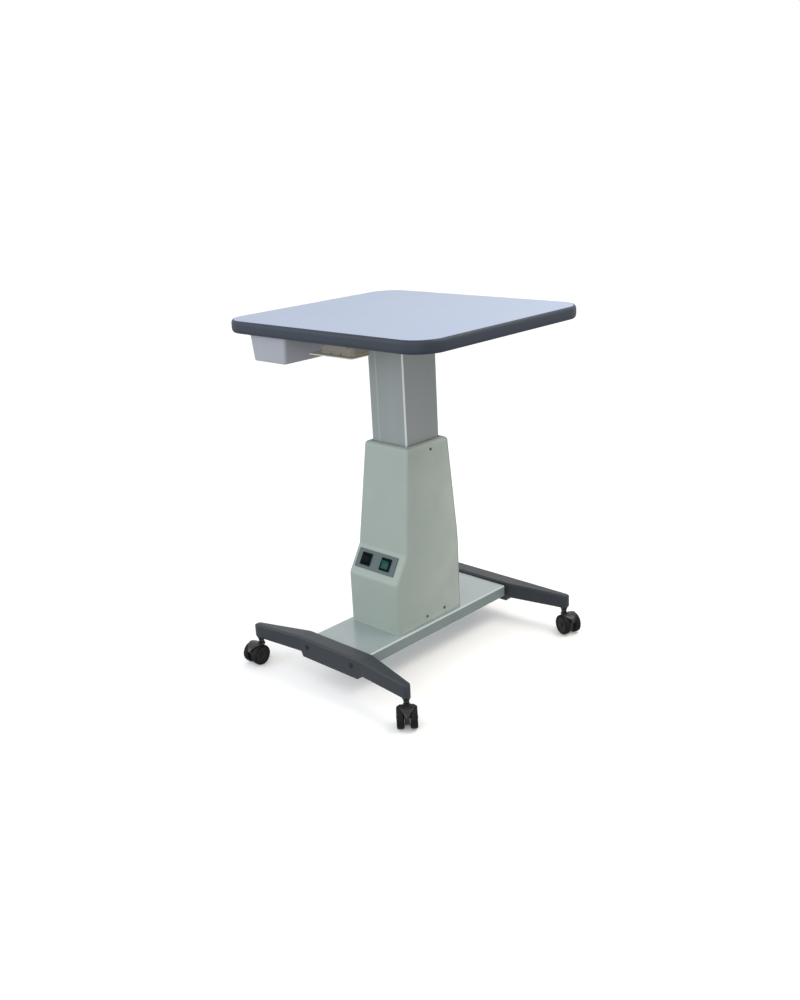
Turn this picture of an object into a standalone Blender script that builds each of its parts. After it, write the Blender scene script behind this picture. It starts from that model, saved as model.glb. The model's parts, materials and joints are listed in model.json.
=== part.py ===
"""Ophthalmic instrument table with a motor lift, in metres.

+Z is up, the front with the switches faces -Y, and the origin is on the floor under the column.
"""

import math

import bmesh
import bpy
from mathutils import Euler, Matrix, Vector

# Clearances
SEAT_GAP = 0.0003
RUN_GAP = 0.0004

# Table top
TOP_WIDTH = 0.500
TOP_DEPTH = 0.440
TOP_THICKNESS = 0.0225
TOP_HEIGHT = 0.6612
TOP_CENTRE_Y = 0.0067
TOP_CORNER_RADIUS = 0.052
BAND_WIDTH = 0.0044
BAND_ROUND = 0.0036
LAMINATE_THICKNESS = 0.001

# Casters
WHEEL_RADIUS = 0.020
WHEEL_WIDTH = 0.0134
WHEEL_ROUND = 0.0036
AXLE_RADIUS = 0.0025
CASTER_TRAIL = 0.015
HOOD_WEB = 0.009
HOOD_WIDTH = 0.030
HOOD_END_WIDTH = 0.0104
HOOD_TAPER_POWER = 3
HUB_RADIUS = 0.008
HOOD_CLEARANCE = 0.001
HOOD_WALL = 0.0015
HOOD_SOCKET = 0.011
CASTER_NECK = 0.002
STEM_RADIUS = 0.004
PINTLE_RADIUS = 0.0025
STEM_COLLAR_RADIUS = 0.0055
STEM_COLLAR_HEIGHT = 0.002
STEM_SOCKET = 0.018

# Where each caster stands, and which way it trails
CASTER_X = 0.194
CASTER_Y = 0.233
CASTERS = {
    "front_left": (-1, -1, math.radians(-88)),
    "front_right": (1, -1, math.radians(-46)),
    "rear_right": (1, 1, math.radians(-21)),
    "rear_left": (-1, 1, math.radians(120)),
}

# Base beam and feet
BEAM_WIDTH = 0.144
BEAM_LENGTH = 0.397
BEAM_THICKNESS = 0.0224
BEAM_WALL = 0.003
BEAM_ROUND = 0.003
FOOT_LENGTH = 0.404
FOOT_DEPTH = 0.033
FOOT_END_DEPTH = 0.016
FOOT_END_TAPER = 0.008
FOOT_ROUND = 0.004
FOOT_RISE = 0.005
FOOT_BLOCK_DROP = 0.035
FOOT_ARM_DROP = 0.0255
FOOT_END_DROP = 0.0275
FOOT_BOSS_HEIGHT = 0.0055
FOOT_BOSS_RADIUS = 0.0075
FOOT_SHOULDER = 0.010
FOOT_STEP = 0.006
BOLT_SPACING = 0.118
BOLT_DROP = 0.0115
BOLT_RADIUS = 0.003
BOLT_HEAD_RADIUS = 0.005
BOLT_HEAD = 0.004
BOLT_REACH = 0.006

# Columns and lift
COLUMN_WIDTH = 0.0876
COLUMN_DEPTH = 0.0896
COLUMN_WALL = 0.003
COLUMN_ROUND = 0.003
COLUMN_OVERLAP = 0.105
LIFT_UP = 0.165
LIFT_DOWN = 0.035
GLIDE_GAP = 0.0022
GLIDE_HEIGHT = 0.030
FIXED_WALL = 0.003
FLANGE_MARGIN = 0.005
FLANGE_THICKNESS = 0.006
HEAD_PLATE_SIZE = 0.140
HEAD_PLATE_THICKNESS = 0.005

# Column cover, from the beam up
COVER_HEIGHT = 0.349
COVER_WALL = 0.0025
COVER_AIR_SIDE = 0.0045
COVER_AIR_FRONT = 0.0030
COVER_SIDE_SPREAD = 0.0071
COVER_FRONT_SPREAD = 0.0240
COVER_REAR_SPREAD = 0.0117
COVER_CORNER = 0.006
COVER_RIM_ROUND = 0.005
COVER_SEAM = 0.0007
SLOPE_FOOT = 0.100
SLOPE_RISE = 0.050
SLOPE_RUN = 0.0298

# Switches on the slope
PANEL_WIDTH = 0.100
PANEL_HEIGHT = 0.037
PANEL_THICKNESS = 0.0015
PANEL_CORNER = 0.002
PANEL_SHIFT = -0.003
PANEL_LIFT = 0.0037
SWITCH_SPACING = 0.050
SWITCH_SIZE = 0.0245
SWITCH_LIP = 0.0013
SWITCH_BEZEL = 0.002
SWITCH_BODY_DEPTH = 0.018
SWITCH_BORDER = 0.002
POCKET_DEPTH = 0.010
ROCKER_SINK = 0.0015
ROCKER_RISE = 0.0020
ROCKER_TILT = math.radians(8)

# Lift actuator inside the moving column
SPINDLE_Y = 0.016
MOTOR_GAP = 0.0015
MOTOR_RADIUS = 0.018
MOTOR_LENGTH = 0.095
GEARBOX_WIDTH = 0.044
GEARBOX_MARGIN = 0.0025
GEARBOX_HEIGHT = 0.034
TUBE_RADIUS = 0.015
TUBE_WALL = 0.0025
TUBE_LENGTH = 0.240
ROD_RADIUS = 0.010
ROD_WALL = 0.003
SCREW_RADIUS = 0.005
PIN_RADIUS = 0.004
EAR_THICKNESS = 0.004
EAR_RADIUS = 0.010
LUG_WIDTH = 0.020
PIN_DROP = 0.014

# Electrics inside the cover
TRANSFORMER_SIZE = (0.046, 0.036, 0.050)
TRANSFORMER_X = -0.028
CONTROL_BOX_SIZE = (0.044, 0.036, 0.070)
CONTROL_BOX_X = 0.028
INLET_WIDTH = 0.027
INLET_HEIGHT = 0.020
INLET_DEPTH = 0.012
INLET_WALL = 0.0025
INLET_FLANGE = 0.004
INLET_FLANGE_THICKNESS = 0.0025
INLET_RISE = 0.050

# Drawer under the front left of the top
DRAWER_DEPTH = 0.150
DRAWER_HEIGHT = 0.049
DRAWER_WALL = 0.0025
DRAWER_SIDE_DRAFT = 0.0049
DRAWER_END_DRAFT = 0.0015
DRAWER_CORNER = 0.005
DRAWER_SIDE_INSET = 0.0641
DRAWER_SET_BACK = 0.0153
RIM_WIDTH = 0.004
RIM_THICKNESS = 0.002
RUNNER_WALL = 0.0015
RUNNER_TOP = 0.008
RUNNER_SET_BACK = 0.013
RUNNER_PLATE_GAP = 0.0068

# Outlet box under the top, in front of the column
OUTLET_WIDTH = 0.086
OUTLET_DEPTH = 0.042
OUTLET_HEIGHT = 0.029
OUTLET_SET_BACK = 0.0523
LID_THICKNESS = 0.0018
LID_LEFT_LIP = 0.022
LID_FRONT_LIP = 0.007

# Facets
CORNER_STEPS = 6
EDGE_STEPS = 3
TREAD_STEPS = 2
ROUND_STEPS = 24
SMALL_ROUND_STEPS = 16
SHARP_ANGLE = math.radians(35)
WELD = 0.000005
FRAME_SHOWN = 0.02

# Levels and places worked out from the sizes above
CASTER_HEIGHT = 2 * WHEEL_RADIUS + HOOD_CLEARANCE + HOOD_WALL + CASTER_NECK
BEAM_TOP = CASTER_HEIGHT + FOOT_BOSS_HEIGHT + FOOT_END_DROP
UNDERSIDE = TOP_HEIGHT - TOP_THICKNESS
DRAWER_MARGIN = RIM_WIDTH + RUN_GAP + RUNNER_WALL + RUNNER_TOP + RUNNER_PLATE_GAP
DRAWER_WIDTH = TOP_WIDTH / 2 - DRAWER_SIDE_INSET - HEAD_PLATE_SIZE / 2 - DRAWER_MARGIN
DRAWER_X = -TOP_WIDTH / 2 + DRAWER_SIDE_INSET + DRAWER_WIDTH / 2
TOP_FRONT_Y = TOP_CENTRE_Y - TOP_DEPTH / 2
DRAWER_FRONT_Y = TOP_FRONT_Y + DRAWER_SET_BACK
OUTLET_FRONT_Y = TOP_FRONT_Y + OUTLET_SET_BACK
FOOT_INNER_Y = BEAM_LENGTH / 2 + SEAT_GAP
COLUMN_HALF = (COLUMN_WIDTH / 2, COLUMN_DEPTH / 2)
FIXED_BOTTOM = BEAM_TOP + SEAT_GAP
FLANGE_TOP = FIXED_BOTTOM + FLANGE_THICKNESS
COVER_TOP = BEAM_TOP + COVER_HEIGHT
FIXED_TOP = COVER_TOP - COVER_WALL - SEAT_GAP
COLUMN_TOP = UNDERSIDE - 2 * SEAT_GAP - HEAD_PLATE_THICKNESS
COLUMN_BOTTOM = FIXED_TOP - COLUMN_OVERLAP - LIFT_UP
SLOPE_ANGLE = math.atan2(SLOPE_RISE, SLOPE_RUN)
ACTUATOR_PIN_Z = FLANGE_TOP + SEAT_GAP + HEAD_PLATE_THICKNESS + PIN_DROP
GEARBOX_TOP = ACTUATOR_PIN_Z + EAR_RADIUS + RUN_GAP + GEARBOX_HEIGHT
MOTOR_Y = SPINDLE_Y - TUBE_RADIUS - MOTOR_GAP - MOTOR_RADIUS
TURN_TO_X = (0, math.pi / 2, 0)
TURN_TO_Y = (math.pi / 2, 0, 0)

COVER_SHELL_SIDE = GLIDE_GAP + FIXED_WALL + COVER_AIR_SIDE + COVER_WALL
COVER_SHELL_FRONT = GLIDE_GAP + FIXED_WALL + COVER_AIR_FRONT + COVER_WALL
COVER_TOP_HALF_X = COLUMN_HALF[0] + COVER_SHELL_SIDE
COVER_TOP_HALF_Y = COLUMN_HALF[1] + COVER_SHELL_FRONT
COVER_BASE_HALF_X = COVER_TOP_HALF_X + COVER_SIDE_SPREAD
COVER_WAIST_FRONT = COVER_TOP_HALF_Y + COVER_FRONT_SPREAD
COVER_BASE_FRONT = COVER_WAIST_FRONT + SLOPE_RUN
COVER_BASE_REAR = COVER_TOP_HALF_Y + COVER_REAR_SPREAD

# Finishes: colour as 8-bit sRGB, roughness, metallic
FINISHES = {
    "laminate": ((200, 211, 228), 0.45, 0.0),
    "band": ((78, 84, 96), 0.5, 0.0),
    "board": ((176, 148, 110), 0.8, 0.0),
    "aluminium": ((150, 156, 160), 0.4, 0.7),
    "cover": ((172, 182, 174), 0.5, 0.0),
    "panel": ((104, 122, 121), 0.5, 0.0),
    "black": ((30, 32, 35), 0.4, 0.0),
    "green": ((40, 112, 92), 0.25, 0.0),
    "beam": ((168, 180, 180), 0.45, 0.0),
    "foot": ((80, 84, 90), 0.55, 0.2),
    "steel": ((150, 150, 152), 0.35, 0.9),
    "zinc": ((138, 136, 120), 0.45, 0.5),
    "white": ((206, 210, 220), 0.5, 0.0),
    "beige": ((132, 128, 112), 0.6, 0.0),
    "nylon": ((225, 224, 215), 0.5, 0.0),
    "copper": ((120, 90, 60), 0.5, 0.4),
}


def remove_old_objects():
    for old in list(bpy.data.objects):
        bpy.data.objects.remove(old, do_unlink=True)


def linear(channel):
    value = channel / 255
    if value <= 0.04045:
        return value / 12.92
    return ((value + 0.055) / 1.055) ** 2.4


def new_collection(name):
    collection = bpy.data.collections.new(name)
    bpy.context.scene.collection.children.link(collection)
    return collection


remove_old_objects()
PARTS = new_collection("ophthalmic_instrument_table")
CUTTERS = new_collection("cutters")


def give_finish(obj, finish):
    colour, roughness, metallic = FINISHES[finish]
    material = bpy.data.materials.new(obj.name)
    material.use_nodes = True
    shader = material.node_tree.nodes["Principled BSDF"]
    shader.inputs["Base Color"].default_value = (*[linear(c) for c in colour], 1.0)
    shader.inputs["Roughness"].default_value = roughness
    shader.inputs["Metallic"].default_value = metallic
    obj.data.materials.clear()
    obj.data.materials.append(material)


def frame(name, place, turn_z=0.0, turn_x=0.0, parent=None):
    """An empty on a joint's axis or at a seat, for pieces to hang on."""
    empty = bpy.data.objects.new(name, None)
    empty.empty_display_size = FRAME_SHOWN
    empty.location = place
    empty.rotation_euler = (turn_x, 0.0, turn_z)
    empty.parent = parent
    PARTS.objects.link(empty)
    return empty


def piece(name, mesh, finish, parent, place=(0, 0, 0), turn=(0, 0, 0), smooth=True):
    obj = bpy.data.objects.new(name, mesh)
    obj.location = place
    obj.rotation_euler = turn
    obj.parent = parent
    PARTS.objects.link(obj)
    give_finish(obj, finish)
    if smooth:
        mesh.shade_smooth()
        mesh.set_sharp_from_angle(angle=SHARP_ANGLE)
    return obj


def cutter(name, mesh, parent=None, place=(0, 0, 0), turn=(0, 0, 0)):
    obj = bpy.data.objects.new(name, mesh)
    obj.location = place
    obj.rotation_euler = turn
    obj.parent = parent
    obj.hide_render = True
    obj.display_type = "WIRE"
    CUTTERS.objects.link(obj)
    return obj


def combine(target, other, operation="DIFFERENCE"):
    modifier = target.modifiers.new(other.name, "BOOLEAN")
    modifier.operation = operation
    modifier.object = other
    modifier.solver = "EXACT"


def solidify(target, thickness):
    modifier = target.modifiers.new("wall", "SOLIDIFY")
    modifier.thickness = thickness
    modifier.offset = -1.0
    modifier.use_even_offset = True


def bevel(target, width, segments=2):
    modifier = target.modifiers.new("round", "BEVEL")
    modifier.width = width
    modifier.segments = segments
    modifier.limit_method = "ANGLE"
    modifier.angle_limit = SHARP_ANGLE


def finished_mesh(bm, name):
    mesh = bpy.data.meshes.new(name)
    bm.to_mesh(mesh)
    bm.free()
    return mesh


def block_mesh(name, size, centre=(0, 0, 0)):
    bm = bmesh.new()
    bmesh.ops.create_cube(bm, size=1.0)
    bmesh.ops.scale(bm, vec=size, verts=bm.verts)
    bmesh.ops.translate(bm, vec=centre, verts=bm.verts)
    return finished_mesh(bm, name)


def rod_mesh(name, radius, length, steps=SMALL_ROUND_STEPS):
    """A solid cylinder along Z, centred on the origin."""
    bm = bmesh.new()
    bmesh.ops.create_cone(
        bm, cap_ends=True, segments=steps, radius1=radius, radius2=radius, depth=length
    )
    return finished_mesh(bm, name)


def turned_mesh(name, profile, steps=ROUND_STEPS):
    """A closed profile of (radius, height) points, outer side first and top to bottom, turned about Z."""
    bm = bmesh.new()
    ring = [bm.verts.new((radius, 0, height)) for radius, height in profile]
    for first, second in zip(ring, ring[1:] + ring[:1]):
        bm.edges.new((first, second))
    obj = bpy.data.objects.new(name, finished_mesh(bm, name))
    CUTTERS.objects.link(obj)
    screw = obj.modifiers.new("turn", "SCREW")
    screw.axis = "Z"
    screw.steps = steps
    screw.render_steps = steps
    screw.use_merge_vertices = True
    screw.merge_threshold = WELD
    return baked_mesh(obj)


def baked_mesh(obj):
    """The object's evaluated mesh, welded; the object itself is removed."""
    bpy.context.view_layer.update()
    evaluated = obj.evaluated_get(bpy.context.evaluated_depsgraph_get())
    mesh = bpy.data.meshes.new_from_object(evaluated)
    bm = bmesh.new()
    bm.from_mesh(mesh)
    bmesh.ops.remove_doubles(bm, verts=bm.verts, dist=WELD)
    bm.to_mesh(mesh)
    bm.free()
    bpy.data.objects.remove(obj, do_unlink=True)
    return mesh


def flat_mesh(name, outlines, thickness):
    """A flat outline with any holes, centred on z = 0."""
    curve = bpy.data.curves.new(name, "CURVE")
    curve.dimensions = "2D"
    curve.fill_mode = "BOTH"
    curve.extrude = thickness / 2
    for outline in outlines:
        spline = curve.splines.new("POLY")
        spline.points.add(len(outline) - 1)
        for point, (x, y) in zip(spline.points, outline):
            point.co = (x, y, 0, 1)
        spline.use_cyclic_u = True
    obj = bpy.data.objects.new(name, curve)
    CUTTERS.objects.link(obj)
    return baked_mesh(obj)


def loft_mesh(name, rings, closed=True, around=False, capped=False):
    """Quads between rings of equal length.

    Each ring runs anticlockwise seen from the side that the rings advance to. closed joins each ring's
    ends, around joins the last ring to the first, and capped fills the first and last rings.
    """
    bm = bmesh.new()
    rows = [[bm.verts.new(point) for point in ring] for ring in rings]
    pairs = list(zip(rows, rows[1:]))
    if around:
        pairs.append((rows[-1], rows[0]))
    count = len(rows[0])
    for low, high in pairs:
        for j in range(count if closed else count - 1):
            k = (j + 1) % count
            bm.faces.new((low[j], low[k], high[k], high[j]))
    if capped:
        bm.faces.new(list(reversed(rows[0])))
        bm.faces.new(rows[-1])
    return finished_mesh(bm, name)


def arc(centre, radius, start, sweep, steps):
    return [
        (
            centre[0] + radius * math.cos(start + sweep * i / steps),
            centre[1] + radius * math.sin(start + sweep * i / steps),
        )
        for i in range(steps + 1)
    ]


def rounded_rectangle(half_x, half_y, radius, steps=CORNER_STEPS):
    points = []
    for quarter, (sx, sy) in enumerate(((1, 1), (-1, 1), (-1, -1), (1, -1))):
        centre = (sx * (half_x - radius), sy * (half_y - radius))
        points += arc(centre, radius, quarter * math.pi / 2, math.pi / 2, steps)
    return points


def at_level(outline, z):
    return [Vector((x, y, z)) for x, y in outline]


def tube_mesh(name, outer_half, wall, radius, bottom, top):
    """A square tube along Z with rounded edges."""
    inner_half = [half - wall for half in outer_half]
    outer = rounded_rectangle(*outer_half, radius, EDGE_STEPS)
    inner = rounded_rectangle(*inner_half, max(radius - wall, radius / 4), EDGE_STEPS)
    rings = [at_level(outer, bottom), at_level(outer, top), at_level(inner, top), at_level(inner, bottom)]
    return loft_mesh(name, rings, around=True)


def make_table_top(parent):
    centre = (0, TOP_CENTRE_Y, 0)
    half = (TOP_WIDTH / 2, TOP_DEPTH / 2)

    def outline(inset):
        return rounded_rectangle(half[0] - inset, half[1] - inset, TOP_CORNER_RADIUS - inset)

    rings = []
    for z, side in ((UNDERSIDE, -1), (TOP_HEIGHT, 1)):
        for step in range(EDGE_STEPS + 1):
            angle = (step if side > 0 else EDGE_STEPS - step) / EDGE_STEPS * math.pi / 2
            inset = BAND_ROUND * (1 - math.cos(angle))
            rings.append(at_level(outline(inset), z - side * BAND_ROUND * (1 - math.sin(angle))))
    rings += [at_level(outline(BAND_WIDTH), z) for z in (TOP_HEIGHT, UNDERSIDE)]
    piece("edge_band", loft_mesh("edge_band", rings, around=True), "band", parent, centre)

    inner = outline(BAND_WIDTH + SEAT_GAP)
    board = TOP_THICKNESS - LAMINATE_THICKNESS - SEAT_GAP
    sheet_place = (0, TOP_CENTRE_Y, TOP_HEIGHT - LAMINATE_THICKNESS / 2)
    board_place = (0, TOP_CENTRE_Y, UNDERSIDE + board / 2)
    sheet = flat_mesh("table_laminate", [inner], LAMINATE_THICKNESS)
    piece("table_laminate", sheet, "laminate", parent, sheet_place)
    piece("table_board", flat_mesh("table_board", [inner], board), "board", parent, board_place)


def make_moving_column(parent):
    tube = tube_mesh("moving_column", COLUMN_HALF, COLUMN_WALL, COLUMN_ROUND, COLUMN_BOTTOM, COLUMN_TOP)
    piece("moving_column", tube, "aluminium", parent)

    half = HEAD_PLATE_SIZE / 2
    plate_outline = rounded_rectangle(half, half, FOOT_ROUND, EDGE_STEPS)
    plate_z = COLUMN_TOP + SEAT_GAP + HEAD_PLATE_THICKNESS / 2
    plate = piece(
        "head_plate",
        flat_mesh("head_plate", [plate_outline], HEAD_PLATE_THICKNESS),
        "zinc",
        parent,
        (0, 0, plate_z),
    )
    add_ears(plate, parent, (0, SPINDLE_Y, plate_z - HEAD_PLATE_THICKNESS / 2), -1)

    pin_z = plate_z - HEAD_PLATE_THICKNESS / 2 - PIN_DROP
    make_pin("upper_pin", parent, (0, SPINDLE_Y, pin_z))
    make_push_rod(parent, pin_z)

    glide_half = [half + GLIDE_GAP - SEAT_GAP for half in COLUMN_HALF]
    glide = tube_mesh(
        "lower_glide",
        glide_half,
        GLIDE_GAP - 2 * SEAT_GAP,
        COLUMN_ROUND + SEAT_GAP,
        COLUMN_BOTTOM,
        COLUMN_BOTTOM + GLIDE_HEIGHT,
    )
    piece("lower_glide", glide, "nylon", parent)


def add_ears(holder, parent, seat, side):
    """Two ears with a pin hole, joined to a plate at seat and standing off it along side * Z."""
    pin_z = seat[2] + side * PIN_DROP
    for sign in (-1, 1):
        x = seat[0] + sign * (LUG_WIDTH / 2 + RUN_GAP + EAR_THICKNESS / 2)
        stem_size = (EAR_THICKNESS, 2 * EAR_RADIUS, PIN_DROP + HEAD_PLATE_THICKNESS / 2)
        stem_z = seat[2] + side * (PIN_DROP - HEAD_PLATE_THICKNESS / 2) / 2
        stem = block_mesh("ear_stem", stem_size)
        combine(holder, cutter("ear_stem", stem, parent, (x, seat[1], stem_z)), "UNION")
        tip = rod_mesh("ear_tip", EAR_RADIUS, EAR_THICKNESS)
        combine(holder, cutter("ear_tip", tip, parent, (x, seat[1], pin_z), TURN_TO_X), "UNION")
    hole = rod_mesh("pin_hole", PIN_RADIUS + SEAT_GAP, 2 * LUG_WIDTH)
    combine(holder, cutter("pin_hole", hole, parent, (seat[0], seat[1], pin_z), TURN_TO_X))


def make_pin(name, parent, place):
    length = LUG_WIDTH + 2 * (RUN_GAP + EAR_THICKNESS)
    piece(name, rod_mesh(name, PIN_RADIUS, length), "steel", parent, place, TURN_TO_X)


def make_push_rod(parent, pin_z):
    bottom = GEARBOX_TOP + LIFT_DOWN + HEAD_PLATE_THICKNESS
    bore_top = pin_z - EAR_RADIUS - ROD_WALL
    top = pin_z + EAR_RADIUS
    bore = ROD_RADIUS - ROD_WALL
    rod = rod_mesh("push_rod", ROD_RADIUS, top - bottom)
    obj = piece("push_rod", rod, "steel", parent, (0, SPINDLE_Y, (top + bottom) / 2))
    bore_mesh = rod_mesh("rod_bore", bore, 2 * (bore_top - bottom))
    combine(obj, cutter("rod_bore", bore_mesh, parent, (0, SPINDLE_Y, bottom)))
    cross = rod_mesh("rod_pin_hole", PIN_RADIUS + SEAT_GAP, 4 * ROD_RADIUS)
    combine(obj, cutter("rod_pin_hole", cross, parent, (0, SPINDLE_Y, pin_z), TURN_TO_X))


def make_fixed_column(parent):
    half = [side + GLIDE_GAP + FIXED_WALL for side in COLUMN_HALF]
    radius = COLUMN_ROUND + GLIDE_GAP
    tube = tube_mesh("fixed_column", half, FIXED_WALL, radius, FLANGE_TOP - FIXED_WALL, FIXED_TOP)
    column = piece("fixed_column", tube, "zinc", parent)
    flange_half = [side + FLANGE_MARGIN for side in half]
    outline = rounded_rectangle(*flange_half, FLANGE_MARGIN, EDGE_STEPS)
    flange = flat_mesh("column_flange", [outline], FLANGE_THICKNESS)
    flange_z = FIXED_BOTTOM + FLANGE_THICKNESS / 2
    combine(column, cutter("column_flange", flange, parent, (0, 0, flange_z)), "UNION")

    glide_half = [side + GLIDE_GAP - SEAT_GAP for side in COLUMN_HALF]
    glide = tube_mesh(
        "upper_glide",
        glide_half,
        GLIDE_GAP - 2 * SEAT_GAP,
        COLUMN_ROUND + SEAT_GAP,
        FIXED_TOP - GLIDE_HEIGHT,
        FIXED_TOP,
    )
    piece("upper_glide", glide, "nylon", parent)


def make_actuator(parent):
    bracket_z = FLANGE_TOP + SEAT_GAP + HEAD_PLATE_THICKNESS / 2
    bracket_size = (LUG_WIDTH + 2 * EAR_RADIUS, 2 * EAR_RADIUS, HEAD_PLATE_THICKNESS)
    bracket = piece(
        "actuator_bracket",
        block_mesh("actuator_bracket", bracket_size),
        "zinc",
        parent,
        (0, SPINDLE_Y, bracket_z),
    )
    add_ears(bracket, parent, (0, SPINDLE_Y, bracket_z + HEAD_PLATE_THICKNESS / 2), 1)
    make_pin("lower_pin", parent, (0, SPINDLE_Y, ACTUATOR_PIN_Z))

    gearbox_rear = SPINDLE_Y + TUBE_RADIUS + GEARBOX_MARGIN
    gearbox_front = MOTOR_Y - MOTOR_RADIUS - GEARBOX_MARGIN
    gearbox_y = (gearbox_rear + gearbox_front) / 2
    gearbox_size = (GEARBOX_WIDTH, gearbox_rear - gearbox_front, GEARBOX_HEIGHT)
    gearbox_mesh = block_mesh("actuator_gearbox", gearbox_size)
    gearbox_place = (0, gearbox_y, GEARBOX_TOP - GEARBOX_HEIGHT / 2)
    gearbox = piece("actuator_gearbox", gearbox_mesh, "black", parent, gearbox_place)
    bevel(gearbox, FOOT_ROUND)
    lug_height = GEARBOX_TOP - GEARBOX_HEIGHT / 2 - ACTUATOR_PIN_Z
    lug = block_mesh("gearbox_lug", (LUG_WIDTH, 2 * EAR_RADIUS, lug_height))
    lug_z = ACTUATOR_PIN_Z + lug_height / 2
    combine(gearbox, cutter("gearbox_lug", lug, parent, (0, SPINDLE_Y, lug_z)), "UNION")
    eye = rod_mesh("gearbox_eye", EAR_RADIUS, LUG_WIDTH)
    eye_place = (0, SPINDLE_Y, ACTUATOR_PIN_Z)
    combine(gearbox, cutter("gearbox_eye", eye, parent, eye_place, TURN_TO_X), "UNION")
    hole = rod_mesh("gearbox_hole", PIN_RADIUS + SEAT_GAP, 2 * LUG_WIDTH)
    combine(gearbox, cutter("gearbox_hole", hole, parent, eye_place, TURN_TO_X))

    seat = GEARBOX_TOP + SEAT_GAP
    motor = rod_mesh("actuator_motor", MOTOR_RADIUS, MOTOR_LENGTH, ROUND_STEPS)
    piece("actuator_motor", motor, "black", parent, (0, MOTOR_Y, seat + MOTOR_LENGTH / 2))

    profile = [
        (TUBE_RADIUS, seat + TUBE_LENGTH),
        (TUBE_RADIUS, seat),
        (TUBE_RADIUS - TUBE_WALL, seat),
        (TUBE_RADIUS - TUBE_WALL, seat + TUBE_LENGTH),
    ]
    tube = turned_mesh("actuator_tube", profile)
    piece("actuator_tube", tube, "aluminium", parent, (0, SPINDLE_Y, 0))


def make_lead_screw(parent):
    length = TUBE_LENGTH - SEAT_GAP
    screw = rod_mesh("lead_screw", SCREW_RADIUS, length)
    piece("lead_screw", screw, "steel", parent, (0, 0, SEAT_GAP + length / 2))


def cover_sections():
    """(height, half width, front, rear, corner radius) of the cover, from the beam up."""
    base = (COVER_BASE_HALF_X, COVER_BASE_FRONT, COVER_BASE_REAR, COVER_CORNER)
    waist = (COVER_BASE_HALF_X, COVER_WAIST_FRONT, COVER_BASE_REAR, COVER_CORNER)
    top = (COVER_TOP_HALF_X, COVER_TOP_HALF_Y, COVER_TOP_HALF_Y, COVER_CORNER)
    sections = [
        (BEAM_TOP + SEAT_GAP, *base),
        (BEAM_TOP + SLOPE_FOOT, *base),
        (BEAM_TOP + SLOPE_FOOT + SLOPE_RISE, *waist),
        (COVER_TOP - COVER_RIM_ROUND, *top),
    ]
    for step in range(1, EDGE_STEPS + 1):
        angle = step / EDGE_STEPS * math.pi / 2
        inset = COVER_RIM_ROUND * (1 - math.cos(angle))
        z = COVER_TOP - COVER_RIM_ROUND * (1 - math.sin(angle))
        sections.append((z, *[size - inset for size in top]))
    half_x, half_y = [half + GLIDE_GAP for half in COLUMN_HALF]
    sections.append((COVER_TOP, half_x, half_y, half_y, COLUMN_ROUND + GLIDE_GAP))
    return sections


def make_cover(parent, slope):
    front_rings = []
    rear_rings = []
    for z, half_x, front, rear, radius in cover_sections():
        seam = rear - COVER_WALL - COVER_SEAM
        left = arc((-half_x + radius, -front + radius), radius, math.pi, math.pi / 2, EDGE_STEPS)
        right = arc((half_x - radius, -front + radius), radius, 1.5 * math.pi, math.pi / 2, EDGE_STEPS)
        front_rings.append(at_level([(-half_x, seam), *left, *right, (half_x, seam)], z))
        rear_rings.append(at_level([(half_x, rear), (-half_x, rear)], z))
    front_shell = piece("cover_front", loft_mesh("cover_front", front_rings, closed=False), "cover", parent)
    solidify(front_shell, COVER_WALL)
    window = (SWITCH_SPACING + SWITCH_SIZE, SWITCH_SIZE, 8 * COVER_WALL)
    window_mesh = block_mesh("switch_window", window)
    combine(front_shell, cutter("switch_window", window_mesh, slope, (PANEL_SHIFT, PANEL_LIFT, 0)))

    rear_panel = piece("cover_rear", loft_mesh("cover_rear", rear_rings, closed=False), "cover", parent)
    solidify(rear_panel, COVER_WALL)
    opening = (INLET_WIDTH + 2 * RUN_GAP, 8 * COVER_WALL, INLET_HEIGHT + 2 * RUN_GAP)
    opening_mesh = block_mesh("inlet_opening", opening)
    place = (0, COVER_BASE_REAR, BEAM_TOP + INLET_RISE)
    combine(rear_panel, cutter("inlet_opening", opening_mesh, parent, place))
    make_inlet(parent, place)


def make_inlet(parent, place):
    back = place[1] - INLET_DEPTH
    face = place[1] + SEAT_GAP
    flange_size = (
        INLET_WIDTH + 2 * INLET_FLANGE,
        INLET_FLANGE_THICKNESS,
        INLET_HEIGHT + 2 * INLET_FLANGE,
    )
    flange_place = (place[0], face + INLET_FLANGE_THICKNESS / 2, place[2])
    flange = block_mesh("mains_inlet", flange_size)
    inlet = piece("mains_inlet", flange, "black", parent, flange_place)
    body_depth = face + INLET_FLANGE_THICKNESS / 2 - back
    body_place = (place[0], back + body_depth / 2, place[2])
    body = block_mesh("inlet_body", (INLET_WIDTH, body_depth, INLET_HEIGHT))
    combine(inlet, cutter("inlet_body", body, parent, body_place), "UNION")
    pocket_depth = INLET_DEPTH - INLET_WALL
    pocket_size = (INLET_WIDTH - 2 * INLET_WALL, 2 * pocket_depth, INLET_HEIGHT - 2 * INLET_WALL)
    pocket = block_mesh("inlet_pocket", pocket_size)
    pocket_place = (place[0], face + INLET_FLANGE_THICKNESS, place[2])
    combine(inlet, cutter("inlet_pocket", pocket, parent, pocket_place))


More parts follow.
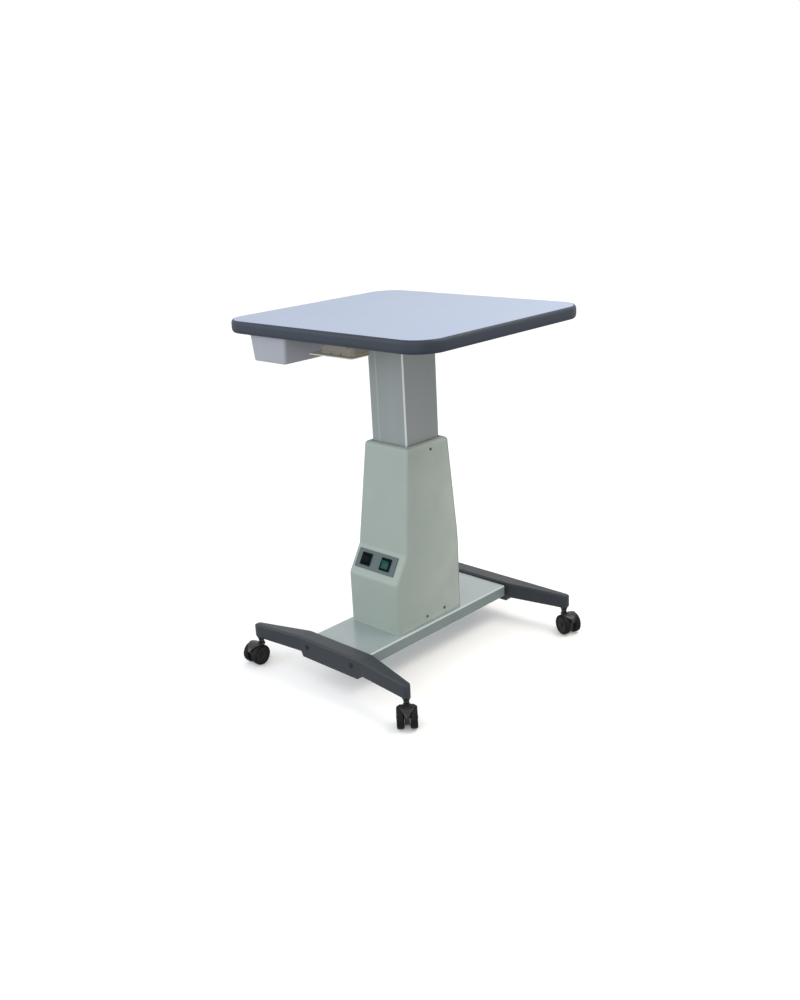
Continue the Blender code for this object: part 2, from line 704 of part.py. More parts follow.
def make_switches(slope):
    plate_z = SEAT_GAP + PANEL_THICKNESS / 2
    body = SWITCH_SIZE - 2 * SWITCH_LIP
    hole = body / 2 + RUN_GAP
    outline = rounded_rectangle(PANEL_WIDTH / 2, PANEL_HEIGHT / 2, PANEL_CORNER, EDGE_STEPS)
    holes = []
    for sign in (-1, 1):
        x = sign * SWITCH_SPACING / 2
        holes.append([(x - hole, -hole), (x + hole, -hole), (x + hole, hole), (x - hole, hole)])
    plate = flat_mesh("switch_panel", [outline, *holes], PANEL_THICKNESS)
    piece("switch_panel", plate, "panel", slope, (PANEL_SHIFT, PANEL_LIFT, plate_z))

    face = SEAT_GAP + PANEL_THICKNESS + SEAT_GAP
    for name, sign, finish, tilt in (("lift", -1, "black", 0.0), ("power", 1, "green", ROCKER_TILT)):
        place = (PANEL_SHIFT + sign * SWITCH_SPACING / 2, PANEL_LIFT, face)
        make_switch(name, slope, place, body, finish, tilt)


def make_switch(name, slope, place, body, finish, tilt):
    bezel_mesh = block_mesh(name + "_switch", (SWITCH_SIZE, SWITCH_SIZE, SWITCH_BEZEL))
    bezel_place = (place[0], place[1], place[2] + SWITCH_BEZEL / 2)
    frame_obj = piece(name + "_switch", bezel_mesh, "black", slope, bezel_place)
    bevel(frame_obj, SWITCH_LIP / 2)
    core_length = SWITCH_BODY_DEPTH + SWITCH_BEZEL / 2
    core = block_mesh(name + "_core", (body, body, core_length))
    core_place = (place[0], place[1], place[2] + SWITCH_BEZEL / 2 - core_length / 2)
    combine(frame_obj, cutter(name + "_core", core, slope, core_place), "UNION")
    pocket_half = SWITCH_SIZE / 2 - SWITCH_LIP - SWITCH_BORDER
    pocket = block_mesh(name + "_pocket", (2 * pocket_half, 2 * pocket_half, 2 * POCKET_DEPTH))
    pocket_place = (place[0], place[1], place[2] + SWITCH_BEZEL)
    combine(frame_obj, cutter(name + "_pocket", pocket, slope, pocket_place))

    pivot_place = (place[0], place[1], place[2] + SWITCH_BEZEL - ROCKER_SINK)
    pivot = frame(name + "_rocker_axis", pivot_place, turn_x=tilt, parent=slope)
    reach = pocket_half - 2 * RUN_GAP
    depth = POCKET_DEPTH / 2
    side = [
        (-reach, ROCKER_SINK + ROCKER_RISE),
        (-reach, -ROCKER_SINK),
        (0, -depth),
        (reach, -ROCKER_SINK),
        (reach, ROCKER_SINK + ROCKER_RISE),
        (0, ROCKER_SINK),
    ]
    scale_in = reach / math.hypot(reach, ROCKER_SINK + ROCKER_RISE)
    side = [(y * scale_in, z) for y, z in side]
    rocker = flat_mesh(name + "_rocker", [side], 2 * (pocket_half - RUN_GAP))
    piece(name + "_rocker", rocker, finish, pivot, (0, 0, 0), (math.pi / 2, 0, math.pi / 2))


def make_electrics(parent):
    front_of_column = COLUMN_HALF[1] + GLIDE_GAP + FIXED_WALL + FLANGE_MARGIN
    for name, size, x, finish in (
        ("transformer", TRANSFORMER_SIZE, TRANSFORMER_X, "copper"),
        ("control_box", CONTROL_BOX_SIZE, CONTROL_BOX_X, "black"),
    ):
        place = (x, -front_of_column - RUN_GAP - size[1] / 2, BEAM_TOP + SEAT_GAP + size[2] / 2)
        obj = piece(name, block_mesh(name, size), finish, parent, place)
        bevel(obj, COVER_WALL)


def make_beam(parent):
    size = (BEAM_WIDTH, BEAM_LENGTH, BEAM_THICKNESS)
    beam_place = (0, 0, BEAM_TOP - BEAM_THICKNESS / 2)
    beam = piece("base_beam", block_mesh("base_beam", size), "beam", parent, beam_place)
    bevel(beam, BEAM_ROUND)
    inside = (BEAM_WIDTH - 2 * BEAM_WALL, BEAM_LENGTH - 2 * BEAM_WALL, 2 * (BEAM_THICKNESS - BEAM_WALL))
    hollow = block_mesh("beam_hollow", inside)
    combine(beam, cutter("beam_hollow", hollow, parent, (0, 0, BEAM_TOP - BEAM_THICKNESS)))
    for sign in (-1, 1):
        holes = rod_mesh("beam_bolt_hole", BOLT_RADIUS + SEAT_GAP, 2 * BEAM_LENGTH)
        place = (sign * BOLT_SPACING / 2, 0, BEAM_TOP - BOLT_DROP)
        combine(beam, cutter("beam_bolt_hole", holes, parent, place, TURN_TO_Y))


def foot_stations():
    """(x, inner depth, outer depth, bottom, top) along half a foot, from the beam's end and top."""
    block = BEAM_WIDTH / 2
    shoulder = block + FOOT_SHOULDER
    end = FOOT_LENGTH / 2
    middle = CASTER_Y - FOOT_INNER_Y
    end_in = middle - FOOT_END_DEPTH / 2
    end_out = middle + FOOT_END_DEPTH / 2
    round_off = FOOT_ROUND / 2
    return [
        (block, 0, FOOT_DEPTH, -FOOT_BLOCK_DROP, FOOT_RISE),
        (block + FOOT_STEP, 0, FOOT_DEPTH, -FOOT_ARM_DROP, FOOT_RISE),
        (shoulder, 0, FOOT_DEPTH, -FOOT_ARM_DROP, FOOT_RISE),
        (end - FOOT_END_TAPER, end_in, end_out, -FOOT_END_DROP, 0),
        (end, end_in + FOOT_END_TAPER, end_out - round_off, -FOOT_END_DROP + round_off, -round_off),
    ]


def make_foot(parent, name, side):
    half = foot_stations()
    stations = [(-x, *rest) for x, *rest in reversed(half)] + half
    rings = []
    for x, near, far, low, high in stations:
        middle = side * (FOOT_INNER_Y + (near + far) / 2)
        radius = min(FOOT_ROUND, (far - near) / 3)
        outline = rounded_rectangle((far - near) / 2, (high - low) / 2, radius, EDGE_STEPS)
        rings.append([Vector((x, middle + y, BEAM_TOP + (low + high) / 2 + z)) for y, z in outline])
    foot = piece(name, loft_mesh(name, rings, capped=True), "foot", parent)

    outer_y = side * (FOOT_INNER_Y + FOOT_DEPTH)
    bolt_z = BEAM_TOP - BOLT_DROP
    for sign, word in ((-1, "left"), (1, "right")):
        x = sign * BOLT_SPACING / 2
        hole = rod_mesh("foot_bolt_hole", BOLT_RADIUS + SEAT_GAP, 4 * FOOT_DEPTH)
        combine(foot, cutter("foot_bolt_hole", hole, parent, (x, outer_y, bolt_z), TURN_TO_Y))
        recess = rod_mesh("foot_bolt_recess", BOLT_HEAD_RADIUS + SEAT_GAP, 2 * (BOLT_HEAD + SEAT_GAP))
        combine(foot, cutter("foot_bolt_recess", recess, parent, (x, outer_y, bolt_z), TURN_TO_Y))
        place = (sign * CASTER_X, side * CASTER_Y, CASTER_HEIGHT)
        boss_profile = [
            (FOOT_BOSS_RADIUS, FOOT_BOSS_HEIGHT + FOOT_ROUND / 2),
            (FOOT_BOSS_RADIUS, FOOT_BOSS_HEIGHT),
            (STEM_COLLAR_RADIUS, 0),
        ]
        boss = solid_turned_mesh("stem_boss", boss_profile)
        combine(foot, cutter("stem_boss", boss, parent, place), "UNION")
        socket = rod_mesh("stem_socket", STEM_RADIUS + SEAT_GAP, 2 * (STEM_SOCKET + SEAT_GAP))
        combine(foot, cutter("stem_socket", socket, parent, place))

        shank_end = FOOT_DEPTH + SEAT_GAP + BEAM_WALL + BOLT_REACH
        profile = [
            (BOLT_HEAD_RADIUS, 0),
            (BOLT_HEAD_RADIUS, -BOLT_HEAD),
            (BOLT_RADIUS, -BOLT_HEAD),
            (BOLT_RADIUS, -shank_end),
        ]
        bolt_name = f"{name}_bolt_{word}"
        bolt = solid_turned_mesh(bolt_name, profile)
        turn = (-side * math.pi / 2, 0, 0)
        piece(bolt_name, bolt, "steel", parent, (x, outer_y, bolt_z), turn)


def solid_turned_mesh(name, profile, steps=SMALL_ROUND_STEPS):
    """A solid turned about Z from (radius, height) points, top to bottom, with flat ends."""
    rings = []
    for radius, height in reversed(profile):
        circle = arc((0, 0), radius, 0, 2 * math.pi, steps)[:-1]
        rings.append(at_level(circle, height))
    return loft_mesh(name, rings, capped=True)


def placed(mesh, place, turn=(0, 0, 0)):
    mesh.transform(Matrix.LocRotScale(Vector(place), Euler(turn), None))
    return mesh


def hood_mesh():
    """The caster's hood about its stem: +X is the trailing side and Y the axle.

    Its arch is widest at the top and narrows to both ends, between the wheels.
    """
    inner = WHEEL_RADIUS + HOOD_CLEARANCE
    outer = inner + HOOD_WALL
    centre = (CASTER_TRAIL, 0, WHEEL_RADIUS)
    boss_top = CASTER_HEIGHT - STEM_COLLAR_HEIGHT - 2 * SEAT_GAP
    boss_height = HOOD_SOCKET + HOOD_WALL
    arch = flat_mesh("hood", [arc((0, 0), outer, 0, math.pi, ROUND_STEPS // 2)], HOOD_WIDTH)
    for vertex in arch.vertices:
        share = (vertex.co.y / outer) ** HOOD_TAPER_POWER
        vertex.co.z *= share + (1 - share) * HOOD_END_WIDTH / HOOD_WIDTH
    hood = bpy.data.objects.new("hood", placed(arch, centre, TURN_TO_Y))
    CUTTERS.objects.link(hood)
    helpers = []

    def shape(name, mesh, place, turn, operation):
        helpers.append(cutter(name, mesh, None, place, turn))
        combine(hood, helpers[-1], operation)

    hub = rod_mesh("hood_hub", HUB_RADIUS, HOOD_WEB)
    shape("hood_hub", hub, centre, TURN_TO_Y, "UNION")
    boss = rod_mesh("hood_boss", STEM_COLLAR_RADIUS, boss_height)
    shape("hood_boss", boss, (0, 0, boss_top - boss_height / 2), (0, 0, 0), "UNION")
    for sign in (-1, 1):
        room = rod_mesh("wheel_room", inner, WHEEL_WIDTH + 2 * RUN_GAP, ROUND_STEPS)
        place = (centre[0], sign * (HOOD_WEB / 2 + RUN_GAP + WHEEL_WIDTH / 2), centre[2])
        shape("wheel_room", room, place, TURN_TO_Y, "DIFFERENCE")
    socket = rod_mesh("hood_socket", PINTLE_RADIUS + RUN_GAP, 2 * HOOD_SOCKET)
    shape("hood_socket", socket, (0, 0, boss_top), (0, 0, 0), "DIFFERENCE")
    axle_hole = rod_mesh("axle_hole", AXLE_RADIUS + SEAT_GAP, 4 * HOOD_WEB)
    shape("axle_hole", axle_hole, centre, TURN_TO_Y, "DIFFERENCE")

    mesh = baked_mesh(hood)
    for helper in helpers:
        bpy.data.objects.remove(helper, do_unlink=True)
    return mesh


def wheel_mesh():
    """A wheel about Z with a rounded tread and a bore for the axle."""
    half = WHEEL_WIDTH / 2
    flat = half - WHEEL_ROUND
    shoulder = WHEEL_RADIUS - WHEEL_ROUND
    tread = arc((shoulder, flat), WHEEL_ROUND, math.pi / 2, -math.pi / 2, TREAD_STEPS)
    tread += arc((shoulder, -flat), WHEEL_ROUND, 0, -math.pi / 2, TREAD_STEPS)
    bore = AXLE_RADIUS + RUN_GAP
    return turned_mesh("wheel", [*tread, (bore, -half), (bore, half)])


def stem_mesh():
    collar_bottom = -SEAT_GAP - STEM_COLLAR_HEIGHT
    pintle_bottom = collar_bottom - HOOD_SOCKET
    profile = [
        (STEM_RADIUS, STEM_SOCKET),
        (STEM_RADIUS, -SEAT_GAP),
        (STEM_COLLAR_RADIUS, -SEAT_GAP),
        (STEM_COLLAR_RADIUS, collar_bottom),
        (PINTLE_RADIUS, collar_bottom),
        (PINTLE_RADIUS, pintle_bottom),
    ]
    return solid_turned_mesh("caster_stem", profile)


def make_casters(base):
    hood = hood_mesh()
    wheel = wheel_mesh()
    wheel_offset = HOOD_WEB / 2 + RUN_GAP + WHEEL_WIDTH / 2
    for name, (side_x, side_y, yaw) in CASTERS.items():
        spot = (side_x * CASTER_X, side_y * CASTER_Y, 0)
        swivel = frame(name + "_swivel_axis", spot, turn_z=yaw)
        piece(name + "_stem", stem_mesh(), "steel", base, (spot[0], spot[1], CASTER_HEIGHT))
        piece(name + "_hood", hood.copy(), "black", swivel)
        axle = frame(name + "_axle_axis", (CASTER_TRAIL, 0, WHEEL_RADIUS), parent=swivel)
        axle_rod = rod_mesh(name + "_axle", AXLE_RADIUS, 2 * wheel_offset + WHEEL_WIDTH)
        piece(name + "_axle", axle_rod, "steel", axle, (0, 0, 0), TURN_TO_Y)
        for sign, word in ((-1, "a"), (1, "b")):
            place = (0, sign * wheel_offset, 0)
            piece(f"{name}_wheel_{word}", wheel.copy(), "black", axle, place, TURN_TO_Y)


def make_drawer(parent):
    """An open tray whose walls draw in downward, with a rim that rides in the runners."""
    rim_top = UNDERSIDE - RUN_GAP
    rim_bottom = rim_top - RIM_THICKNESS
    bottom = UNDERSIDE - DRAWER_HEIGHT
    floor = bottom + DRAWER_WALL
    half = (DRAWER_WIDTH / 2, DRAWER_DEPTH / 2)

    def outline(inset, drawn_in=0):
        half_width = half[0] - inset - drawn_in * DRAWER_SIDE_DRAFT
        half_depth = half[1] - inset - drawn_in * DRAWER_END_DRAFT
        return rounded_rectangle(half_width, half_depth, DRAWER_CORNER - inset, EDGE_STEPS)

    rings = [
        at_level(outline(0, 1), bottom),
        at_level(outline(0), rim_bottom),
        at_level(outline(-RIM_WIDTH), rim_bottom),
        at_level(outline(-RIM_WIDTH), rim_top),
        at_level(outline(DRAWER_WALL), rim_top),
        at_level(outline(DRAWER_WALL, 1), floor),
    ]
    tray = loft_mesh("accessory_drawer", rings, capped=True)
    piece("accessory_drawer", tray, "white", parent, (DRAWER_X, DRAWER_FRONT_Y + half[1], 0))


def make_runners(parent):
    """Z-section rails: a flange under the board, a web beside the rim and a lip below it."""
    length = DRAWER_DEPTH - RUNNER_SET_BACK
    lip_top = UNDERSIDE - 2 * RUN_GAP - RIM_THICKNESS
    middle_y = DRAWER_FRONT_Y + RUNNER_SET_BACK + length / 2
    web_in = DRAWER_WIDTH / 2 + RIM_WIDTH + RUN_GAP
    web_out = web_in + RUNNER_WALL
    lip_in = web_in - RIM_WIDTH
    top = UNDERSIDE - SEAT_GAP
    section = [
        (lip_in, lip_top),
        (lip_in, lip_top - RUNNER_WALL),
        (web_out, lip_top - RUNNER_WALL),
        (web_out, top - RUNNER_WALL),
        (web_out + RUNNER_TOP, top - RUNNER_WALL),
        (web_out + RUNNER_TOP, top),
        (web_in, top),
        (web_in, lip_top),
    ]
    for name, sign in (("drawer_runner_left", -1), ("drawer_runner_right", 1)):
        outline = [(sign * x, z) for x, z in section]
        rail = flat_mesh(name, [outline], length)
        piece(name, rail, "zinc", parent, (DRAWER_X, middle_y, 0), TURN_TO_Y)


def make_outlet_box(parent):
    top = UNDERSIDE - SEAT_GAP
    size = (OUTLET_WIDTH, OUTLET_DEPTH, OUTLET_HEIGHT)
    centre_y = OUTLET_FRONT_Y + OUTLET_DEPTH / 2
    box_place = (0, centre_y, top - OUTLET_HEIGHT / 2)
    box = piece("outlet_box", block_mesh("outlet_box", size), "beige", parent, box_place)
    bevel(box, COVER_WALL)
    lid_size = (OUTLET_WIDTH + LID_LEFT_LIP, OUTLET_DEPTH + LID_FRONT_LIP, LID_THICKNESS)
    lid_place = (
        -LID_LEFT_LIP / 2,
        centre_y - LID_FRONT_LIP / 2,
        top - OUTLET_HEIGHT - SEAT_GAP - LID_THICKNESS / 2,
    )
    piece("outlet_lid", block_mesh("outlet_lid", lid_size), "white", parent, lid_place)


def make_table():
    base = frame("base_frame", (0, 0, 0))
    lift = frame("lift_axis", (0, 0, 0))
    drawer = frame("drawer_axis", (0, 0, 0), parent=lift)
    spindle = frame("lead_screw_axis", (0, SPINDLE_Y, GEARBOX_TOP), parent=base)
    slope_place = (
        0,
        -COVER_WAIST_FRONT - SLOPE_RUN / 2,
        BEAM_TOP + SLOPE_FOOT + SLOPE_RISE / 2,
    )
    slope = frame("switch_slope", slope_place, turn_x=SLOPE_ANGLE, parent=base)

    make_beam(base)
    make_foot(base, "front_foot", -1)
    make_foot(base, "rear_foot", 1)
    make_casters(base)
    make_fixed_column(base)
    make_actuator(base)
    make_lead_screw(spindle)
    make_electrics(base)
    make_cover(base, slope)
    make_switches(slope)
    make_moving_column(lift)
    make_table_top(lift)
    make_runners(lift)
    make_outlet_box(lift)
    make_drawer(drawer)


make_table()
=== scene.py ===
"""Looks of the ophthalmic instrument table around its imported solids, in metres, +Z up, front to -Y."""

import json
import math

import bmesh
import bpy
from mathutils import Euler, Matrix, Vector


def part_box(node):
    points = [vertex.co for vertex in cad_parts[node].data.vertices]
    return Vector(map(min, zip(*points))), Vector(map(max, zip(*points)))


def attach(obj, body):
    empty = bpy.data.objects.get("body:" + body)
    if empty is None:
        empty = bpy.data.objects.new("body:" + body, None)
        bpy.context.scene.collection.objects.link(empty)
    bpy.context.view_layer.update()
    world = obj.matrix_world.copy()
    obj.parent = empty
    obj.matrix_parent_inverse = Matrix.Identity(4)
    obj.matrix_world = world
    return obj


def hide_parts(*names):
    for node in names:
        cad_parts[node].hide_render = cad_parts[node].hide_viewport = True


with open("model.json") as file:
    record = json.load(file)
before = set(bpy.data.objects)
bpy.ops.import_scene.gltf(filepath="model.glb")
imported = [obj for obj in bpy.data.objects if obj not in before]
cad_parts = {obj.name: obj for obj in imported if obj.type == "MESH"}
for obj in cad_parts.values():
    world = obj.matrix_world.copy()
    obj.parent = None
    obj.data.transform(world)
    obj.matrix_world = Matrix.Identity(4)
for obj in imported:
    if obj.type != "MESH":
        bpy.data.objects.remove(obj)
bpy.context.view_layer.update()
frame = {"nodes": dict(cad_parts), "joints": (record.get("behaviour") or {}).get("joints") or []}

SCENE = bpy.context.scene
NODES = frame["nodes"]
JOINTS = {joint["name"]: joint for joint in frame["joints"]}

# Table top
TOP_LOW, TOP_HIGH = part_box("edge_band")
UNDERSIDE = TOP_LOW.z
TOP_HEIGHT = TOP_HIGH.z
TOP_CENTRE = (TOP_LOW + TOP_HIGH) / 2
TOP_HALF = ((TOP_HIGH.x - TOP_LOW.x) / 2, (TOP_HIGH.y - TOP_LOW.y) / 2)
TOP_CORNER = 0.052
TOP_CORNER_STEPS = 20
BAND_WIDTH = 0.0044
BAND_ROUND = (0.0041, 0.0075)
BAND_STEPS = 8
BAND_LIP = (0.0001, 0.0002)
JOINT_LINE = 0.0003
SHEET_THICK = 0.001
SHEET_ARRIS = 0.00025
SHEET_MARGIN = 0.004
CORE_ARRIS = 0.0004

# Column and cover
COLUMN_LOW, COLUMN_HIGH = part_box("moving_column")
COLUMN_HALF = (COLUMN_HIGH.x, COLUMN_HIGH.y)
COLUMN_ROUND = 0.0034
COLUMN_ROUND_STEPS = 6
COLUMN_WALL = 0.003
GROOVE_X = -0.024
GROOVE_HALF = 0.0013
GROOVE_DEPTH = 0.0007
LEAST_ROUND = 0.0008
HEAD_PLATE_THICK = 0.005
HEAD_SCREW = (0.004, 0.0022)
HEAD_SCREW_SPOT = 0.058
COVER_LOW, COVER_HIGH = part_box("cover_front")
COVER_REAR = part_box("cover_rear")[1].y
COVER_TOP = COVER_HIGH.z
COVER_WALL = 0.0025
COVER_STEP = 0.006
COVER_SEAM = 0.0007
COVER_CORNER = 0.006
COVER_CORNER_STEPS = 8
COVER_RIM = 0.0075
COVER_RIM_STEPS = 6
COVER_RIM_CORNER = 0.7
COVER_TOP_HALF = (0.0560, 0.0555)
COVER_GAP = 0.0022
COVER_ARRIS = 0.0005
BACK_WALL = 0.0012
BACK_TURN = COVER_WALL - 0.0002
BACK_TURN_STEPS = 5
CUT_ROUND = 0.001
WINDOW_DEPTH = 0.02
INLET_OPENING = (0.0278, 0.04, 0.0208)
COVER_SCREW = (0.0027, 0.0013)
SIDE_SCREWS = ((0.0056, 0.4123), (-0.0304, 0.0900), (0.0192, 0.0908))
BACK_SCREWS = [(x, z) for x in (-0.050, 0.050) for z in (0.092, 0.215)]
SLOPE_FOOT = 0.1775
SLOPE_TOP = 0.2275
WAIST_FRONT = 0.0795
SLOPE_BEND = 0.012
WAIST_BEND = 0.014
TAPER_BLEND = 0.022
SLOPE_CENTRE = Vector((0, -0.0944, 0.2025))
SLOPE_RISE, SLOPE_RUN = 0.050, 0.0298
SLOPE_ANGLE = math.atan2(SLOPE_RISE, SLOPE_RUN)
SLOPE = Matrix.LocRotScale(SLOPE_CENTRE, Euler((SLOPE_ANGLE, 0, 0)), None)

# Switches, in the slope's own frame
PANEL_CENTRE = (-0.003, 0.0037)
PANEL_HALF = (0.050, 0.0185)
PANEL_FACE = 0.0018
PANEL_THICK = 0.0015
PANEL_CORNER = 0.002
PANEL_ARRIS = 0.0004
PANEL_LAP = 0.0009
SWITCH_HALF = 0.01225
SWITCH_CORNER = 0.0012
SWITCH_X = 0.025
SWITCH_FACE = 0.0021
BEZEL = 0.002
BEZEL_ARRIS = 0.0005
POCKET_HALF = 0.00895
POCKET_DEPTH = 0.0099
POCKET_WALL = 0.0012

# Under the top
RUNNER_SCREW = (0.0028, 0.0014)
OUTLET_SCREW = (0.0021, 0.0008)
OUTLET_SCREWS = ((-0.030, 0.017), (-0.012, 0.0032), (0.012, 0.0032), (0.030, 0.017))

# Base
BEAM_LOW, BEAM_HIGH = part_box("base_beam")
BEAM_WALL = 0.003
FOLD_RADIUS = 0.0034
FOLD_STEPS = 6
FOLD_SLOPES = (0.2, 0.97)
FOOT_INNER = 0.1988
FOOT_DEPTH = 0.033
FOOT_END = 0.202
FOOT_TIP = 0.008
FOOT_TIP_HALF = 0.008
FOOT_BLOCK = 0.072
FOOT_BLOCK_STEP = 0.006
FOOT_SHOULDER = 0.082
FOOT_RISE = 0.005
FOOT_ROUNDS = (0.0042, 0.0018)
STEM_X = 0.194
STEM_Y = 0.233
BOLT_X = 0.059
BOLT_Z = 0.066
BOLT_HEAD = (0.005, 0.0034)
BOLT_RECESS = 0.0053
BOLT_SEAT = 0.0042

# Casters
CASTER_HEIGHT = 0.0445
TRAIL = 0.015
WHEEL_RADIUS = 0.020
WHEEL_HALF = 0.0067
WHEEL_OFFSET = 0.0116
HOOD_OUTER = 0.0225
HOOD_INNER = 0.0211
HOOD_HALF = 0.015
HOOD_TIP_HALF = 0.0018
HOOD_TAPER = 3.2
HOOD_START, HOOD_SWEEP = 26, 128
WEB_HALF = 0.0045
WEB_REACH = 0.0214
WEB_LOW_REACH = 0.0145
WEB_RISE = 0.0065
WEB_FADE = 0.23
WEB_ARRIS = 0.0005
WHEEL_SHOULDER = 0.0036
WHEEL_BORE = 0.0029
WHEEL_DISC = 0.0156

# Stage: light from below as a share of that from above, the ramp between them, the floor's own light,
# and each lamp's name, place, size, power and colour
UNDER_LIGHT = 0.6
HORIZON = (-0.12, -0.04)
FLOOR_GLOW = 0.12
FLOOR_HALF = 30.0
LAMP_AIM = Vector((0, 0, 0.35))
LAMPS = (
    ("key_light", (-1.6, -2.7, 1.3), 2.2, 29, (0.72, 0.88, 1.0)),
    ("fill_light", (1.1, -2.5, 1.1), 1.6, 16, (1.0, 0.94, 0.82)),
    ("top_light", (0.7, 0.5, 1.5), 0.9, 9, (1.0, 0.93, 0.78)),
)

# Camera: degrees round from the front, down and rolled, its place, and its lens in millimetres
CAMERA_TURN = (44.28, 18.52, -2.99)
CAMERA_PLACE = Vector((1.31619, -1.37366, 0.942))
CAMERA_LENS = 37.868
CAMERA_SENSOR = 36.0
CAMERA_NEAR = 0.05

# Finishes: how far a mask fades in, the spread of roughness, and the colour of dust
MASK_FADE = 0.06
ROUGH_SPREAD = 0.06
DUST_COLOUR = (196, 196, 190)

# Points closer than this are one
MERGE = 0.000005


def linear(*channels):
    values = [c / 255 for c in channels]
    return [v / 12.92 if v <= 0.04045 else ((v + 0.055) / 1.055) ** 2.4 for v in values]


def add(tree, kind, settings=None, inputs=None):
    made = tree.nodes.new(kind)
    for key, value in (settings or {}).items():
        setattr(made, key, value)
    for key, value in (inputs or {}).items():
        if isinstance(value, bpy.types.NodeSocket):
            tree.links.new(value, made.inputs[key])
        else:
            made.inputs[key].default_value = value
    return made


def spread(tree, value, low, high, start=0.3, end=0.7):
    inputs = {"Value": value, "From Min": start, "From Max": end, "To Min": low, "To Max": high}
    return add(tree, "ShaderNodeMapRange", inputs=inputs).outputs["Result"]


def mixed(tree, factor, first, second):
    made = add(tree, "ShaderNodeMix", {"data_type": "RGBA"}, {"Factor": factor})
    for socket, value in ((made.inputs[6], first), (made.inputs[7], second)):
        if isinstance(value, bpy.types.NodeSocket):
            tree.links.new(value, socket)
        else:
            socket.default_value = (*value, 1)
    return made.outputs[2]


def finish(
    name,
    colour,
    rough,
    *,
    mottle,
    grain,
    depth,
    metallic=0.0,
    mottle_scale=16,
    stretch=(1, 1, 1),
    flecks=None,
    fleck_scale=700,
    fleck_from=0.62,
    wear=None,
    wear_from=0.53,
    dust=0.0,
    coat=0.0,
    coat_rough=0.12,
    anisotropy=0.0,
    transmission=0.0,
    specular=0.5,
):
    """A paint, plastic or metal: mottled colour, flecks, worn edges, dust on top, and a bumped grain."""
    material = bpy.data.materials.new(name)
    material.use_nodes = True
    tree = material.node_tree
    shader = tree.nodes["Principled BSDF"]
    base = linear(*colour)
    place = add(tree, "ShaderNodeTexCoord").outputs["Object"]
    place = add(tree, "ShaderNodeMapping", inputs={"Vector": place, "Scale": stretch}).outputs["Vector"]

    def noise(scale, detail=2.0):
        inputs = {"Vector": place, "Scale": scale, "Detail": detail}
        return add(tree, "ShaderNodeTexNoise", inputs=inputs).outputs["Fac"]

    broad = noise(mottle_scale, 4.0)
    fine = noise(grain)
    tone = mixed(
        tree,
        spread(tree, broad, 0.0, 1.0),
        [c * (1 - mottle) for c in base],
        [min(1.0, c * (1 + mottle)) for c in base],
    )
    if flecks:
        amount = spread(tree, noise(fleck_scale, 0.0), 0.0, 1.0, fleck_from, fleck_from + MASK_FADE)
        tone = mixed(tree, amount, tone, linear(*flecks))
    geometry = add(tree, "ShaderNodeNewGeometry")
    if wear:
        edge = spread(tree, geometry.outputs["Pointiness"], 0.0, 1.0, wear_from, wear_from + MASK_FADE)
        rub = add(tree, "ShaderNodeMath", {"operation": "MULTIPLY"}, {0: edge, 1: broad}).outputs[0]
        tone = mixed(tree, rub, tone, linear(*wear))
    if dust:
        up = add(tree, "ShaderNodeSeparateXYZ", inputs={0: geometry.outputs["Normal"]}).outputs[2]
        lying = spread(tree, up, 0.0, dust, 0.6, 1.0)
        patchy = add(tree, "ShaderNodeMath", {"operation": "MULTIPLY"}, {0: lying, 1: broad}).outputs[0]
        tone = mixed(tree, patchy, tone, linear(*DUST_COLOUR))
    tree.links.new(tone, shader.inputs["Base Color"])
    uneven = add(tree, "ShaderNodeMath", {"operation": "ADD"}, {0: fine, 1: broad}).outputs[0]
    gloss = spread(tree, uneven, rough - ROUGH_SPREAD, rough + ROUGH_SPREAD, 0.7, 1.3)
    tree.links.new(gloss, shader.inputs["Roughness"])
    bump = add(tree, "ShaderNodeBump", inputs={"Strength": 1.0, "Distance": depth, "Height": fine})
    tree.links.new(bump.outputs["Normal"], shader.inputs["Normal"])
    shader.inputs["Metallic"].default_value = metallic
    shader.inputs["Coat Weight"].default_value = coat
    shader.inputs["Coat Roughness"].default_value = coat_rough
    shader.inputs["Anisotropic"].default_value = anisotropy
    shader.inputs["Transmission Weight"].default_value = transmission
    shader.inputs["Specular IOR Level"].default_value = specular
    return material


LAMINATE = finish("laminate", (149, 163, 189), 0.40, mottle=0.03, mottle_scale=9, grain=1400,
                  depth=0.000012, flecks=(140, 154, 181), fleck_scale=1100, fleck_from=0.58)
BAND = finish("edge_band_pvc", (43, 50, 63), 0.5, mottle=0.07, grain=1700, depth=0.00002,
              wear=(88, 94, 104), wear_from=0.54, specular=0.35)
BACKER = finish("board_backer", (168, 164, 154), 0.7, mottle=0.05, grain=1200, depth=0.00005,
                flecks=(150, 144, 132), fleck_scale=420)
ANODISED = finish("column_anodised", (139, 145, 146), 0.4, metallic=0.15, mottle=0.04, grain=1100,
                  depth=0.000014, stretch=(1, 1, 0.012), anisotropy=0.4)
# the column's corner faces get a lighter, glossier copy of the anodising: a painted highlight along the
# rounded edges
PAINTED_EDGE_HIGHLIGHT = finish("column_edge_painted_highlight", (208, 213, 215), 0.25, metallic=0.25, mottle=0.05, grain=1100,
                   depth=0.00001, stretch=(1, 1, 0.012))
# the groove's faces are lighter than the column: a painted highlight down the groove
PAINTED_GROOVE_HIGHLIGHT = finish("column_groove_painted_highlight", (156, 165, 166), 0.38, metallic=0.15, mottle=0.05, grain=1100,
                     depth=0.00001, stretch=(1, 1, 0.012))
COVER_PAINT = finish("cover_paint", (146, 157, 151), 0.46, mottle=0.025, grain=700, depth=0.00002,
                     wear=(176, 184, 178), wear_from=0.54)
BEAM_PAINT = finish("beam_paint", (142, 155, 157), 0.22, mottle=0.03, grain=700, depth=0.000015, coat=0.8,
                    coat_rough=0.28, wear=(176, 184, 184), wear_from=0.54, dust=0.04)
# the beam's sides are a darker copy of its paint: painted shade
BEAM_SIDE_PAINTED_SHADE = finish("beam_side_painted_shade", (119, 131, 132), 0.46, mottle=0.05, grain=700, depth=0.00002)
